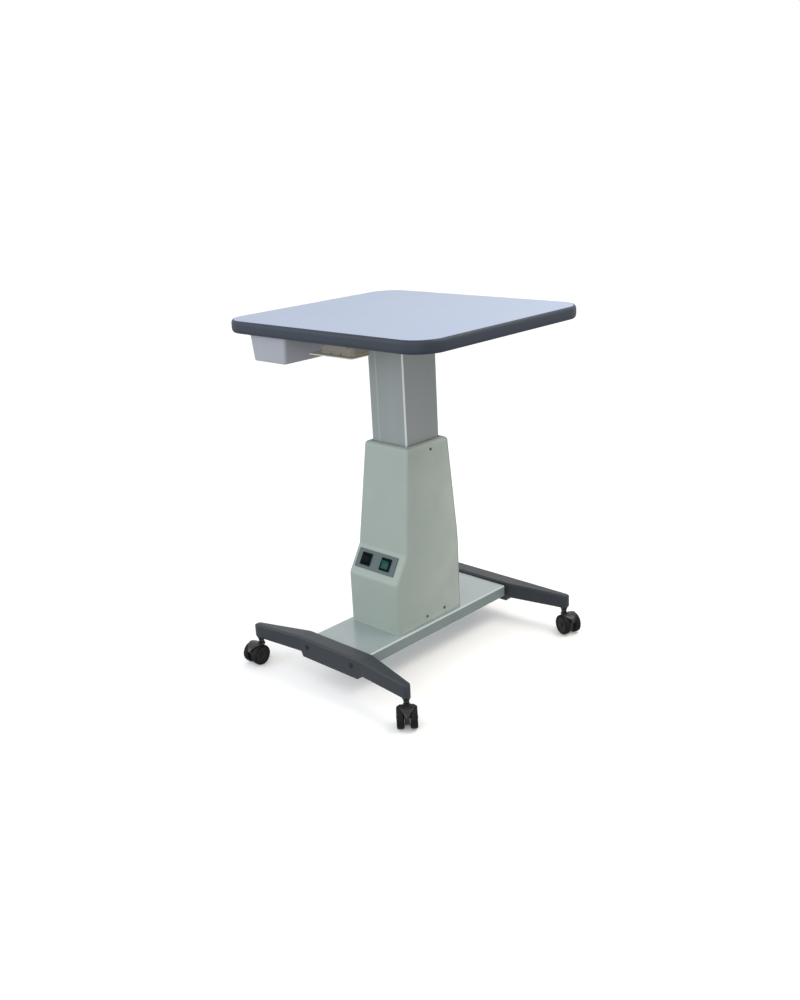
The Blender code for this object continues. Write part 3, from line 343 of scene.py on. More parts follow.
# the beam's folds are a lighter copy of its paint: a painted highlight along the bends
BEAM_FOLD_PAINTED_HIGHLIGHT = finish("beam_fold_painted_highlight", (178, 192, 193), 0.25, mottle=0.04, grain=700, depth=0.000015,
                         coat=0.8)
FOOT_PAINT = finish("foot_powder_coat", (47, 52, 58), 0.37, mottle=0.06, grain=1300, depth=0.00007,
                    wear=(88, 92, 98), wear_from=0.54, dust=0.02, specular=0.3)
PANEL_PLASTIC = finish("switch_plate_plastic", (71, 85, 87), 0.5, mottle=0.05, grain=1500,
                       depth=0.00003, flecks=(84, 97, 97), fleck_scale=1500)
BLACK_GLOSS = finish("switch_black", (8, 13, 16), 0.4, mottle=0.10, grain=1800, depth=0.00001,
                     specular=0.05)
LENS = finish("lens_green", (14, 80, 66), 0.42, mottle=0.16, mottle_scale=110, grain=1500,
              depth=0.00001, transmission=0.2, specular=0.06)
BLACK_PLASTIC = finish("black_moulded", (15, 15, 17), 0.44, mottle=0.10, grain=2200, depth=0.00004,
                       wear=(52, 53, 56), wear_from=0.55, dust=0.02, specular=0.25)
HOOD_PLASTIC = finish("hood_glossy", (21, 21, 23), 0.3, mottle=0.08, grain=2200, depth=0.00002,
                      wear=(60, 61, 64), wear_from=0.55, dust=0.02)
TYRE = finish("tyre_polyurethane", (12, 12, 14), 0.62, mottle=0.18, mottle_scale=60, grain=1600,
              depth=0.00005, flecks=(30, 30, 31), fleck_scale=1500, fleck_from=0.64, dust=0.02, specular=0.2)
DRAWER_PLASTIC = finish("drawer_plastic", (152, 154, 164), 0.44, mottle=0.03, grain=1300, depth=0.00003)
OUTLET_PLASTIC = finish("outlet_plastic", (126, 122, 111), 0.34, mottle=0.04, grain=1300, depth=0.00004)
LID_PLASTIC = finish("outlet_lid_plastic", (202, 200, 192), 0.5, mottle=0.04, grain=1300, depth=0.00004)
STEEL = finish("steel_bright", (168, 168, 168), 0.3, metallic=1.0, mottle=0.06, grain=1500, depth=0.00001)
DARK_STEEL = finish("steel_blacked", (84, 87, 86), 0.42, metallic=0.7, mottle=0.12, grain=1500,
                    depth=0.00002, wear=(150, 150, 148), wear_from=0.54)
ZINC = finish("zinc_plated", (158, 156, 146), 0.42, metallic=0.85, mottle=0.12, mottle_scale=70,
              grain=800, depth=0.00002, flecks=(176, 176, 168), fleck_scale=160, fleck_from=0.52)
# the glides are dark: black nylon, and painted shade of the gap round the column at the cover's opening
NYLON_AND_GAP_SHADE = finish("glide_nylon_and_gap_shade", (40, 42, 44), 0.55, mottle=0.08, grain=1500, depth=0.00003)
COPPER = finish("windings", (120, 84, 52), 0.45, metallic=0.5, mottle=0.15, grain=900, depth=0.0001,
                stretch=(1, 1, 12))


def arc(centre, radius, start, sweep, steps):
    turns = [start + sweep * i / steps for i in range(steps + 1)]
    return [(centre[0] + radius * math.cos(a), centre[1] + radius * math.sin(a)) for a in turns]


def rounded(half_x, half_y, radius, steps, low_radius=None):
    """The outline of a rectangle with round corners; the two at -Y may have a radius of their own."""
    points = []
    for quarter, (sx, sy) in enumerate(((1, 1), (-1, 1), (-1, -1), (1, -1))):
        turn = radius if sy > 0 else low_radius or radius
        centre = (sx * (half_x - turn), sy * (half_y - turn))
        points += arc(centre, turn, quarter * math.pi / 2, math.pi / 2, steps)
    return points


def level(outline, z, centre=(0, 0)):
    return [(x + centre[0], y + centre[1], z) for x, y in outline]


def filleted(points, radii):
    """A polyline of 2-D points with each inner corner rounded to its radius."""
    steps = 8
    path = [Vector(points[0])]
    for before, corner, after, radius in zip(points, points[1:], points[2:], radii):
        corner = Vector(corner)
        back = (Vector(before) - corner).normalized()
        ahead = (Vector(after) - corner).normalized()
        half = back.angle(ahead) / 2
        reach = radius / math.tan(half)
        start, end = corner + back * reach, corner + ahead * reach
        for i in range(steps + 1):
            t = i / steps
            path.append((1 - t) ** 2 * start + 2 * t * (1 - t) * corner + t * t * end)
    path.append(Vector(points[-1]))
    return path


def dense(path, step):
    """The same polyline with no stretch longer than the step."""
    points = [path[0]]
    for start, end in zip(path, path[1:]):
        count = max(1, math.ceil((end - start).length / step))
        points += [start.lerp(end, (i + 1) / count) for i in range(count)]
    return points


def finished(bm, name):
    bmesh.ops.recalc_face_normals(bm, faces=bm.faces)
    mesh = bpy.data.meshes.new(name)
    bm.to_mesh(mesh)
    bm.free()
    return mesh


def loft(rings, closed=True, around=False, capped=False):
    bm = bmesh.new()
    rows = [[bm.verts.new(point) for point in ring] for ring in rings]
    pairs = list(zip(rows, rows[1:])) + ([(rows[-1], rows[0])] if around else [])
    count = len(rows[0])
    for low, high in pairs:
        for j in range(count if closed else count - 1):
            k = (j + 1) % count
            bm.faces.new((low[j], low[k], high[k], high[j]))
    if capped:
        bm.faces.new(list(reversed(rows[0])))
        bm.faces.new(rows[-1])
    return finished(bm, "loft")


def lathe(profile, steps):
    """A solid turned about Z from (radius, height) points; a radius of 0 closes it on the axis."""
    bm = bmesh.new()
    rows = []
    for radius, height in profile:
        if radius == 0:
            rows.append([bm.verts.new((0, 0, height))])
        else:
            circle = arc((0, 0), radius, 0, 2 * math.pi, steps)[:-1]
            rows.append([bm.verts.new(point) for point in level(circle, height)])
    for low, high in zip(rows, rows[1:]):
        for j in range(steps):
            k = (j + 1) % steps
            corners = [low[j % len(low)], low[k % len(low)], high[k % len(high)], high[j % len(high)]]
            bm.faces.new(list(dict.fromkeys(corners)))
    for row in (rows[0], rows[-1]):
        if len(row) > 1:
            bm.faces.new(row)
    return finished(bm, "lathe")


def sheet(outlines, thickness, edge):
    """A flat plate from outlines in XY, holes included, centred on z = 0, with rounded arrises."""
    curve = bpy.data.curves.new("sheet", "CURVE")
    curve.dimensions = "2D"
    curve.fill_mode = "BOTH"
    curve.extrude = thickness / 2 - edge
    curve.bevel_depth = edge
    curve.bevel_resolution = 2
    curve.offset = -edge
    for outline in outlines:
        spline = curve.splines.new("POLY")
        spline.points.add(len(outline) - 1)
        for point, (x, y) in zip(spline.points, outline):
            point.co = (x, y, 0, 1)
        spline.use_cyclic_u = True
    return evaluated(bpy.data.objects.new("sheet", curve))


def evaluated(obj):
    """The object's mesh with its modifiers; the object is removed."""
    SCENE.collection.objects.link(obj)
    bpy.context.view_layer.update()
    made = obj.evaluated_get(bpy.context.evaluated_depsgraph_get())
    mesh = bpy.data.meshes.new_from_object(made)
    bpy.data.objects.remove(obj, do_unlink=True)
    bm = bmesh.new()
    bm.from_mesh(mesh)
    bmesh.ops.remove_doubles(bm, verts=bm.verts, dist=MERGE)
    bm.to_mesh(mesh)
    bm.free()
    return mesh


def soft_block(size, radius, segments, centre=(0, 0, 0)):
    bm = bmesh.new()
    bmesh.ops.create_cube(bm, size=1.0)
    bmesh.ops.scale(bm, vec=size, verts=bm.verts)
    bmesh.ops.bevel(bm, geom=bm.edges[:], offset=radius, segments=segments, profile=0.5, affect="EDGES")
    bmesh.ops.translate(bm, vec=centre, verts=bm.verts)
    return finished(bm, "block")


def moved(mesh, matrix):
    mesh.transform(matrix)
    return mesh


def at(x, y, z, turn=(0, 0, 0)):
    return Matrix.LocRotScale(Vector((x, y, z)), Euler(turn), None)


def joined(meshes):
    bm = bmesh.new()
    for mesh in meshes:
        bm.from_mesh(mesh)
    return finished(bm, "joined")


def carved(mesh, cutters):
    obj = bpy.data.objects.new("carved", mesh)
    helpers = []
    for cutter in cutters:
        helper = bpy.data.objects.new("cutter", cutter)
        SCENE.collection.objects.link(helper)
        helpers.append(helper)
        modifier = obj.modifiers.new("carve", "BOOLEAN")
        modifier.operation = "DIFFERENCE"
        modifier.object = helper
        modifier.solver = "EXACT"
    mesh = evaluated(obj)
    for helper in helpers:
        bpy.data.objects.remove(helper, do_unlink=True)
    return mesh


def walled(mesh, thickness):
    obj = bpy.data.objects.new("walled", mesh)
    modifier = obj.modifiers.new("wall", "SOLIDIFY")
    modifier.thickness = thickness
    modifier.offset = -1.0
    modifier.use_even_offset = True
    return evaluated(obj)


def show(name, mesh, material, body, slot, *replaced, angle=38):
    """Adds a piece to the scene: its finish, even shading, the body it rides on and the nodes it replaces."""
    obj = bpy.data.objects.new(name, mesh)
    mesh.name = name
    SCENE.collection.objects.link(obj)
    for one in material if isinstance(material, list) else [material]:
        mesh.materials.append(one)
    mesh.shade_smooth()
    mesh.set_sharp_from_angle(angle=math.radians(angle))
    modifier = obj.modifiers.new("even_normals", "WEIGHTED_NORMAL")
    modifier.keep_sharp = True
    modifier.weight = 100
    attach(obj, body)
    if replaced:
        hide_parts(*replaced)


def screw_head(radius, height, drive="cross"):
    """A screw head on the plane z = 0, its recess cut in the top."""
    steps = 48
    hex_half, slot_half, arm, arm_power = 0.52, 0.14, 0.42, 6
    recess_floor, recess_draft = 0.35, 0.8

    def hex_reach(angle):
        return hex_half * radius / math.cos((angle % (math.pi / 3)) - math.pi / 6)

    def cross_reach(angle):
        across = abs(math.cos(2 * angle)) ** arm_power
        return radius * (slot_half + arm * across)

    reach = hex_reach if drive == "hex" else cross_reach
    angles = [2 * math.pi * i / steps for i in range(steps)]

    def ring(size, z):
        return [(size * math.cos(a), size * math.sin(a), z) for a in angles]

    def recess(z, scale):
        return [(scale * reach(a) * math.cos(a), scale * reach(a) * math.sin(a), z) for a in angles]

    rings = [
        ring(radius, 0),
        ring(radius, 0.55 * height),
        ring(0.93 * radius, 0.85 * height),
        ring(0.80 * radius, height),
        recess(height, 1.0),
        recess(recess_floor * height, recess_draft),
    ]
    return loft(rings, capped=True)


def make_table_top():
    def outline(inset):
        return rounded(TOP_HALF[0] - inset, TOP_HALF[1] - inset, TOP_CORNER - inset, TOP_CORNER_STEPS)

    centre = (TOP_CENTRE.x, TOP_CENTRE.y)
    across, along = BAND_ROUND
    lip_in, lip_down = BAND_LIP
    turns = [math.pi / 2 * i / BAND_STEPS for i in range(BAND_STEPS + 1)]
    profile = [(BAND_WIDTH, UNDERSIDE)]
    profile += [(across * (1 - math.sin(a)), UNDERSIDE + along * (1 - math.cos(a))) for a in turns]
    profile += [(across * (1 - math.cos(a)), TOP_HEIGHT - along * (1 - math.sin(a))) for a in turns]
    profile += [(BAND_WIDTH - lip_in, TOP_HEIGHT), (BAND_WIDTH, TOP_HEIGHT - lip_down)]
    rings = [level(outline(inset), z, centre) for inset, z in profile]
    show("table_band", loft(rings, around=True), BAND, "lift", "edge_band", "edge_band")

    inner = BAND_WIDTH + JOINT_LINE
    sheet_bottom = TOP_HEIGHT - SHEET_THICK
    rings = [
        level(outline(inner), sheet_bottom, centre),
        level(outline(inner), TOP_HEIGHT - SHEET_ARRIS, centre),
        level(outline(inner + SHEET_ARRIS), TOP_HEIGHT, centre),
        level(outline(inner + SHEET_MARGIN), TOP_HEIGHT, centre),
    ]
    show("table_sheet", loft(rings, capped=True), LAMINATE, "lift", "laminate", "table_laminate")
    rings = [
        level(outline(inner + CORE_ARRIS), UNDERSIDE, centre),
        level(outline(inner), UNDERSIDE + CORE_ARRIS, centre),
        level(outline(inner), sheet_bottom - JOINT_LINE, centre),
    ]
    show("table_core", loft(rings, capped=True), BACKER, "lift", "board", "table_board")


def make_column():
    def outline(inset):
        half = [h - inset for h in COLUMN_HALF]
        points = rounded(*half, max(COLUMN_ROUND - inset, LEAST_ROUND), COLUMN_ROUND_STEPS)
        notch = [
            (GROOVE_X - GROOVE_HALF, -half[1]),
            (GROOVE_X, -half[1] + GROOVE_DEPTH),
            (GROOVE_X + GROOVE_HALF, -half[1]),
        ]
        back = [(-x, -y) for x, y in notch]
        corner = COLUMN_ROUND_STEPS + 1
        return points[:corner] + back + points[corner : 3 * corner] + notch + points[3 * corner :]

    outer = outline(0)
    inner = outline(COLUMN_WALL)
    rings = [
        level(inner, COLUMN_LOW.z),
        level(outer, COLUMN_LOW.z),
        level(outer, COLUMN_HIGH.z),
        level(inner, COLUMN_HIGH.z),
    ]
    tube = loft(rings, around=True)
    slanted = 0.3
    for face in tube.polygons:
        in_groove = abs(abs(face.center.x) + GROOVE_X) < GROOVE_HALF
        turned = min(abs(face.normal.x), abs(face.normal.y)) > slanted
        # corner faces take the painted edge highlight; faces in the groove take the groove's painted
        # highlight
        face.material_index = (2 if in_groove else 1) if turned else 0
    # the second finish is the corners' painted highlight, the third the groove's painted highlight
    show("column_profile", tube, [ANODISED, PAINTED_EDGE_HIGHLIGHT, PAINTED_GROOVE_HIGHLIGHT], "lift", "column", "moving_column")
    # the glides' dark finish is partly painted shade of the gap at the cover's opening
    for name in ("upper_glide", "lower_glide"):
        dress(name, NYLON_AND_GAP_SHADE)

    plate_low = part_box("head_plate")[1].z - HEAD_PLATE_THICK
    head = screw_head(*HEAD_SCREW)
    spots = [(sx * HEAD_SCREW_SPOT, sy * HEAD_SCREW_SPOT) for sx in (-1, 1) for sy in (-1, 1)]
    turn = (math.pi, 0, 0.3)
    screws = [moved(head.copy(), at(x, y, plate_low, turn)) for x, y in spots]
    show("head_plate_screws", joined(screws), STEEL, "lift", "steel_parts")


def dress(node, material):
    """A CAD node that stays gets a finish of its own."""
    mesh = NODES[node].data
    mesh.materials.clear()
    mesh.materials.append(material)


def cover_levels():
    """(height, half width, front, rear, corner radius) of the cover's outside, from beam to opening."""
    base_half, base_front = COVER_HIGH.x, -COVER_LOW.y
    rim_start = COVER_TOP - COVER_RIM
    path = filleted(
        [
            (base_front, COVER_LOW.z),
            (base_front, SLOPE_FOOT),
            (WAIST_FRONT, SLOPE_TOP),
            (COVER_TOP_HALF[1], rim_start),
        ],
        (SLOPE_BEND, WAIST_BEND),
    )
    levels = []
    for front, z in dense(path, COVER_STEP):
        past = z - SLOPE_TOP
        if abs(past) < TAPER_BLEND:
            past = (past + TAPER_BLEND) ** 2 / (4 * TAPER_BLEND)
        share = max(0.0, past) / (rim_start - SLOPE_TOP)
        half = base_half + (COVER_TOP_HALF[0] - base_half) * share
        rear = COVER_REAR + (COVER_TOP_HALF[1] - COVER_REAR) * share
        levels.append((z, half, front, rear, COVER_CORNER))
    for i in range(1, COVER_RIM_STEPS + 1):
        angle = math.pi / 2 * i / COVER_RIM_STEPS
        inset = COVER_RIM * (1 - math.cos(angle))
        z = rim_start + COVER_RIM * math.sin(angle)
        sizes = [size - inset for size in (*COVER_TOP_HALF, COVER_TOP_HALF[1])]
        levels.append((z, *sizes, COVER_CORNER - COVER_RIM_CORNER * inset))
    opening = [half + COVER_GAP for half in COLUMN_HALF]
    round_in = COLUMN_ROUND + COVER_GAP
    wide, deep = [half + COVER_ARRIS for half in opening]
    levels.append((COVER_TOP, wide, deep, deep, round_in))
    levels.append((COVER_TOP - COVER_ARRIS, *opening, opening[1], round_in))
    return levels


def make_cover():
    front_rings = []
    rear_rings = []
    turn = BACK_TURN
    for z, half, front, rear, radius in cover_levels():
        seam = rear - COVER_WALL - COVER_SEAM
        left = arc((-half + radius, -front + radius), radius, math.pi, math.pi / 2, COVER_CORNER_STEPS)
        right = arc((half - radius, -front + radius), radius, 1.5 * math.pi, math.pi / 2, COVER_CORNER_STEPS)
        front_rings.append(level([(-half, seam), *left, *right, (half, seam)], z))
        right = arc((half - turn, rear - turn), turn, 0, math.pi / 2, BACK_TURN_STEPS)
        left = arc((-half + turn, rear - turn), turn, math.pi / 2, math.pi / 2, BACK_TURN_STEPS)
        rear_rings.append(level([*right, *left], z))
    shell = walled(loft(front_rings, closed=False), COVER_WALL)
    window_size = (2 * SWITCH_X + 2 * SWITCH_HALF, 2 * SWITCH_HALF, WINDOW_DEPTH)
    window = soft_block(window_size, CUT_ROUND, 2)
    window = moved(window, SLOPE @ at(PANEL_CENTRE[0], PANEL_CENTRE[1], 0))
    show("cover_shell", carved(shell, [window]), COVER_PAINT, "base", "cover", "cover_front", angle=30)
    panel = walled(loft(rear_rings, closed=False), BACK_WALL)
    inlet_low, inlet_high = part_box("mains_inlet")
    middle = (inlet_low + inlet_high) / 2
    opening = moved(soft_block(INLET_OPENING, CUT_ROUND, 2), at(0, COVER_REAR, middle.z))
    show("cover_back", carved(panel, [opening]), COVER_PAINT, "base", "cover", "cover_rear", angle=30)

    head = screw_head(*COVER_SCREW)
    screws = []
    taper = math.atan2(COVER_HIGH.x - COVER_TOP_HALF[0], COVER_TOP - COVER_RIM - SLOPE_TOP)
    for side in (-1, 1):
        for y, z in SIDE_SCREWS:
            lean = taper if z > SLOPE_TOP else 0.0
            x = COVER_HIGH.x - max(0.0, z - SLOPE_TOP) * math.tan(taper)
            spot = at(side * x, y, z, (0, side * (math.pi / 2 - lean), 0))
            screws.append(moved(head.copy(), spot @ at(0, 0, 0, (0, 0, 0.5))))
    for x, z in BACK_SCREWS:
        screws.append(moved(head.copy(), at(x, COVER_REAR, z, (-math.pi / 2, 0, 0.2))))
    show("cover_screws", joined(screws), DARK_STEEL, "base", "steel_parts")


def square(half, x=0.0):
    return [(x - half, -half), (x + half, -half), (x + half, half), (x - half, half)]


def make_switches():
    holes = [square(SWITCH_HALF - PANEL_LAP, sign * SWITCH_X) for sign in (-1, 1)]
    plate = sheet([rounded(*PANEL_HALF, PANEL_CORNER, 5), *holes], PANEL_THICK, PANEL_ARRIS)
    place = SLOPE @ at(*PANEL_CENTRE, PANEL_FACE - PANEL_THICK / 2)
    show("switch_plate", moved(plate, place), PANEL_PLASTIC, "base", "switch_plate", "switch_panel")

    for name, sign, material, slot in (
        ("lift", -1, BLACK_GLOSS, "switch_black"),
        ("power", 1, LENS, "lens"),
    ):
        centre = SLOPE @ at(PANEL_CENTRE[0] + sign * SWITCH_X, PANEL_CENTRE[1], SWITCH_FACE)
        rim = rounded(SWITCH_HALF, SWITCH_HALF, SWITCH_CORNER, 4)
        bezel = sheet([rim, square(POCKET_HALF)], BEZEL, BEZEL_ARRIS)
        bezel = moved(bezel, at(0, 0, BEZEL / 2))
        outside = square(POCKET_HALF + POCKET_WALL)
        well_bottom = BEZEL - POCKET_DEPTH - POCKET_WALL
        well = loft([level(outside, BEZEL / 2), level(outside, well_bottom)], capped=True)
        room_height, room_round = 0.03, 0.0002
        room = soft_block((2 * POCKET_HALF, 2 * POCKET_HALF, room_height), room_round, 1)
        room = moved(room, at(0, 0, BEZEL - POCKET_DEPTH + room_height / 2))
        switch = joined([bezel, carved(well, [room])])
        show(name + "_bezel", moved(switch, centre), BLACK_GLOSS, "base", "switch_black", name + "_switch")
        make_rocker(name, material, slot)


def make_rocker(name, material, slot):
    """A rocker with a dished face, set on its hinge line and tilted as its solid is."""
    reach, half, sink, rise, keel = 0.0079, 0.00845, 0.0015, 0.0020, 0.0047
    dish_power, steps = 1.5, 14
    edge, edge_steps, least = 0.0006, 4, 0.002
    joint = JOINTS[name + "_rocker"]
    low, high = joint["range_deg"]
    tilt = 0.0 if high > 0 else math.radians(high - low) / 2
    profile = [(-reach, -sink), (0, -keel), (reach, -sink)]
    for i in range(steps + 1):
        y = reach * (1 - 2 * i / steps)
        profile.append((y, sink + rise * abs(y / reach) ** dish_power))
    middle = Vector((0, 0.0005))

    def ring(x, inset):
        points = []
        for y, z in profile:
            away = Vector((y, z)) - middle
            away *= 1 - inset / max(away.length, least)
            points.append((x, middle.x + away.x, middle.y + away.y))
        return points

    shares = [i / edge_steps for i in range(edge_steps + 1)]
    insets = [(share, edge * (1 - math.sin(math.pi / 2 * share))) for share in shares]
    rings = [ring(-half + edge * share, inset) for share, inset in insets]
    rings += [ring(half - edge * share, inset) for share, inset in reversed(insets)]
    place = at(*joint["pos_m"]) @ Matrix.Rotation(SLOPE_ANGLE + tilt, 4, "X")
    rocker = moved(loft(rings, capped=True), place)
    show(name + "_rocker_cap", rocker, material, name + "_rocker_button", slot, name + "_rocker", angle=50)


def make_inlet():
    low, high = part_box("mains_inlet")
    middle = (low + high) / 2
    half = ((high.x - low.x) / 2, (high.z - low.z) / 2)
    wide, tall, cut_wide, cut_tall = 0.011, 0.0075, 0.0075, 0.004
    pocket = [(-wide, -tall), (wide, -tall), (wide, cut_tall)]
    pocket += [(cut_wide, tall), (-cut_wide, tall), (-wide, cut_tall)]
    flange_thick, flange_corner, flange_arris = 0.0024, 0.003, 0.0005
    flange = sheet([rounded(*half, flange_corner, 5), pocket], flange_thick, flange_arris)
    flange = moved(flange, at(0, 0, -flange_thick / 2))
    shell_outline = rounded(0.0134, 0.0099, 0.001, 3)
    shell_back, pocket_floor, cut_start = -0.0145, -0.0095, 0.01
    shell = loft([level(shell_outline, z) for z in (-flange_thick / 2, shell_back)], capped=True)
    room = loft([level(pocket, z) for z in (cut_start, pocket_floor)], capped=True)
    pieces = [flange, carved(shell, [room])]
    face = at(0, high.y, middle.z, (-math.pi / 2, 0, 0)) @ at(0, 0, 0, (0, 0, math.pi))
    show("inlet_shroud", moved(joined(pieces), face), BLACK_GLOSS, "base", "switch_black", "mains_inlet")
    blade_size, blade_round, blade_z = (0.0018, 0.0042, 0.0085), 0.0004, -0.0056
    blade_spots = ((-0.006, -0.0015), (0.006, -0.0015), (0, 0.0025))
    blades = [soft_block(blade_size, blade_round, 2, (x, y, blade_z)) for x, y in blade_spots]
    show("inlet_blades", moved(joined(blades), face), STEEL, "base", "steel_parts")


def make_beam():
    size = BEAM_HIGH - BEAM_LOW
    bm = bmesh.new()
    bmesh.ops.create_cube(bm, size=1.0)
    bmesh.ops.scale(bm, vec=size, verts=bm.verts)
    bmesh.ops.translate(bm, vec=(BEAM_LOW + BEAM_HIGH) / 2, verts=bm.verts)
    bottom = [f for f in bm.faces if f.normal.z < -0.5]
    bmesh.ops.delete(bm, geom=bottom, context="FACES_ONLY")
    folds = [e for e in bm.edges if len(e.link_faces) == 2]
    bmesh.ops.bevel(bm, geom=folds, offset=FOLD_RADIUS, segments=FOLD_STEPS, profile=0.5, affect="EDGES")
    pan = walled(finished(bm, "pan"), BEAM_WALL)
    for face in pan.polygons:
        on_fold = FOLD_SLOPES[0] < face.normal.z < FOLD_SLOPES[1]
        # folds take the painted highlight, sides the painted shade, the top its own paint
        face.material_index = 2 if on_fold else 0 if face.normal.z > 0.5 else 1
    # the second paint is the sides' painted shade
    paints = [BEAM_PAINT, BEAM_SIDE_PAINTED_SHADE, BEAM_FOLD_PAINTED_HIGHLIGHT]
    show("beam_pan", pan, paints, "base", "beam", "base_beam", angle=30)


def smooth_step(share):
    share = min(1.0, max(0.0, share))
    return share * share * (3 - 2 * share)


def foot_section(x):
    """(inner, outer, bottom, top) of a foot at a distance x from the middle, from the beam's end and top."""
    block_drop, arm_drop, end_drop = 0.035, 0.0255, 0.0275
    bend, bend_share = 0.04, 8
    tip_inner, tip_outer, tip_low, tip_high = 0.008, 0.002, 0.0012, 0.002
    middle = STEM_Y - FOOT_INNER
    run = min(1.0, max(0.0, (x - FOOT_SHOULDER) / (FOOT_END - FOOT_TIP - FOOT_SHOULDER)))
    ease = run
    if run < 1 / bend_share:
        ease += bend * (smooth_step(run * bend_share) - run * bend_share)
    inner = (middle - FOOT_TIP_HALF) * ease
    outer = FOOT_DEPTH + (middle + FOOT_TIP_HALF - FOOT_DEPTH) * ease
    top = FOOT_RISE * (1 - ease)
    drop = block_drop + (arm_drop - block_drop) * smooth_step((x - FOOT_BLOCK) / FOOT_BLOCK_STEP)
    drop += (end_drop - arm_drop) * ease
    tip = min(1.0, max(0.0, (x - FOOT_END + FOOT_TIP) / FOOT_TIP))
    round_off = 1 - math.sqrt(max(0.0, 1 - tip * tip))
    return (
        inner + tip_inner * round_off,
        outer - tip_outer * round_off,
        -drop + tip_low * round_off,
        top - tip_high * round_off,
    )


def make_feet():
    tip_start = FOOT_END - FOOT_TIP
    spots = [0.0, 0.045, 0.066, 0.070]
    spots += [0.0715 + 0.001 * i for i in range(9)]
    spots += [0.0815, 0.084, 0.087, 0.091, 0.098]
    spots += [0.098 + 0.008 * i for i in range(1, 12)]
    spots += [0.190, tip_start]
    spots += [tip_start + FOOT_TIP * share for share in (0.3, 0.55, 0.75, 0.9, 0.97, 1.0)]
    top_round, low_round = FOOT_ROUNDS
    cone_profile = [(0.0079, 0.0075), (0.0079, 0.0056), (0.0075, 0.0046), (0.0058, 0.0005), (0.0053, 0.0)]
    shank_profile = [(0.003, 0), (0.003, -0.0376), (0.0024, -0.0381)]
    recess_profile = [(BOLT_RECESS, 0.006), (BOLT_RECESS, -0.0043)]
    for name, side in (("front_foot", -1), ("rear_foot", 1)):
        rings = []
        for x in [-s for s in reversed(spots[1:])] + spots:
            inner, outer, low, high = foot_section(abs(x))
            half = ((outer - inner) / 2, (high - low) / 2)
            outline = rounded(*half, min(top_round, half[0] * 0.7), 5, low_round)
            y = side * (FOOT_INNER + (inner + outer) / 2)
            z = BEAM_HIGH.z + (low + high) / 2
            rings.append([(x, y + dy, z + dz) for dy, dz in outline])
        body = loft(rings, capped=True)
        face = FOOT_INNER + FOOT_DEPTH
        recess = lathe(recess_profile, 32)
        cutters = [
            moved(recess.copy(), at(sign * BOLT_X, side * face, BOLT_Z, (-side * math.pi / 2, 0, 0)))
            for sign in (-1, 1)
        ]
        cone = lathe(cone_profile, 40)
        bosses = [moved(cone.copy(), at(sign * STEM_X, side * STEM_Y, CASTER_HEIGHT)) for sign in (-1, 1)]
        body = joined([carved(body, cutters), *bosses])
        show(name + "_casting", body, FOOT_PAINT, "base", "foot", name)
        head = screw_head(*BOLT_HEAD, "hex")
        for sign, word in ((-1, "left"), (1, "right")):
            spot = at(sign * BOLT_X, side * (face - BOLT_SEAT), BOLT_Z, (-side * math.pi / 2, 0, 0.2))
            bolt = f"{name}_bolt_{word}"
            screw = moved(joined([head, lathe(shank_profile, 24)]), spot)
            show(bolt + "_screw", screw, FOOT_PAINT, "base", "steel_parts", bolt)


def hood_mesh():
    """A caster's hood: an arch narrowing to both ends, the web between the wheels, the pintle's boss."""
    arch_steps, across_steps, inside_steps, web_steps = 44, 12, 4, 48
    tail_drop, tail_share, crown_drop, crown_power = 0.0003, 8, 0.0005, 6
    rings = []
    for i in range(arch_steps + 1):
        share = i / arch_steps
        angle = math.radians(HOOD_START + HOOD_SWEEP * share)
        half = HOOD_TIP_HALF + (HOOD_HALF - HOOD_TIP_HALF) * math.sin(angle) ** HOOD_TAPER
        tail = tail_drop * max(0.0, 1 - tail_share * min(share, 1 - share))
        section = []
        for j in range(across_steps + 1):
            y = half * (1 - 2 * j / across_steps)
            crown = crown_drop * abs(y / half) ** crown_power
            section.append((HOOD_OUTER - crown - tail, y))
        section += [(HOOD_INNER, -half * (1 - 2 * j / inside_steps)) for j in range(inside_steps + 1)]
        along, up = math.cos(angle), math.sin(angle)
        rings.append([(TRAIL + r * along, y, WHEEL_RADIUS + r * up) for r, y in section])
    arch = loft(rings, capped=True)
    plate = []
    for i in range(web_steps + 1):
        angle = math.pi * i / web_steps
        share = min(angle, math.pi - angle) / (WEB_FADE * math.pi)
        reach = WEB_REACH if share > 1 else WEB_LOW_REACH + WEB_RISE * smooth_step(share)
        plate.append((reach * math.cos(angle), reach * math.sin(angle)))
    plate += arc((0, 0), WEB_LOW_REACH, math.pi, math.pi, web_steps // 2)[1:-1]
    web = sheet([plate], 2 * WEB_HALF, WEB_ARRIS)
    web = moved(web, at(TRAIL, 0, WHEEL_RADIUS, (math.pi / 2, 0, 0)))
    profile = [(0.0048, 0.0422), (0.0052, 0.0418), (0.0053, 0.0394)]
    profile += [(0.0058, 0.0380), (0.0068, 0.0368), (0.0068, 0.0345)]
    return joined([arch, web, lathe(profile, 36)])


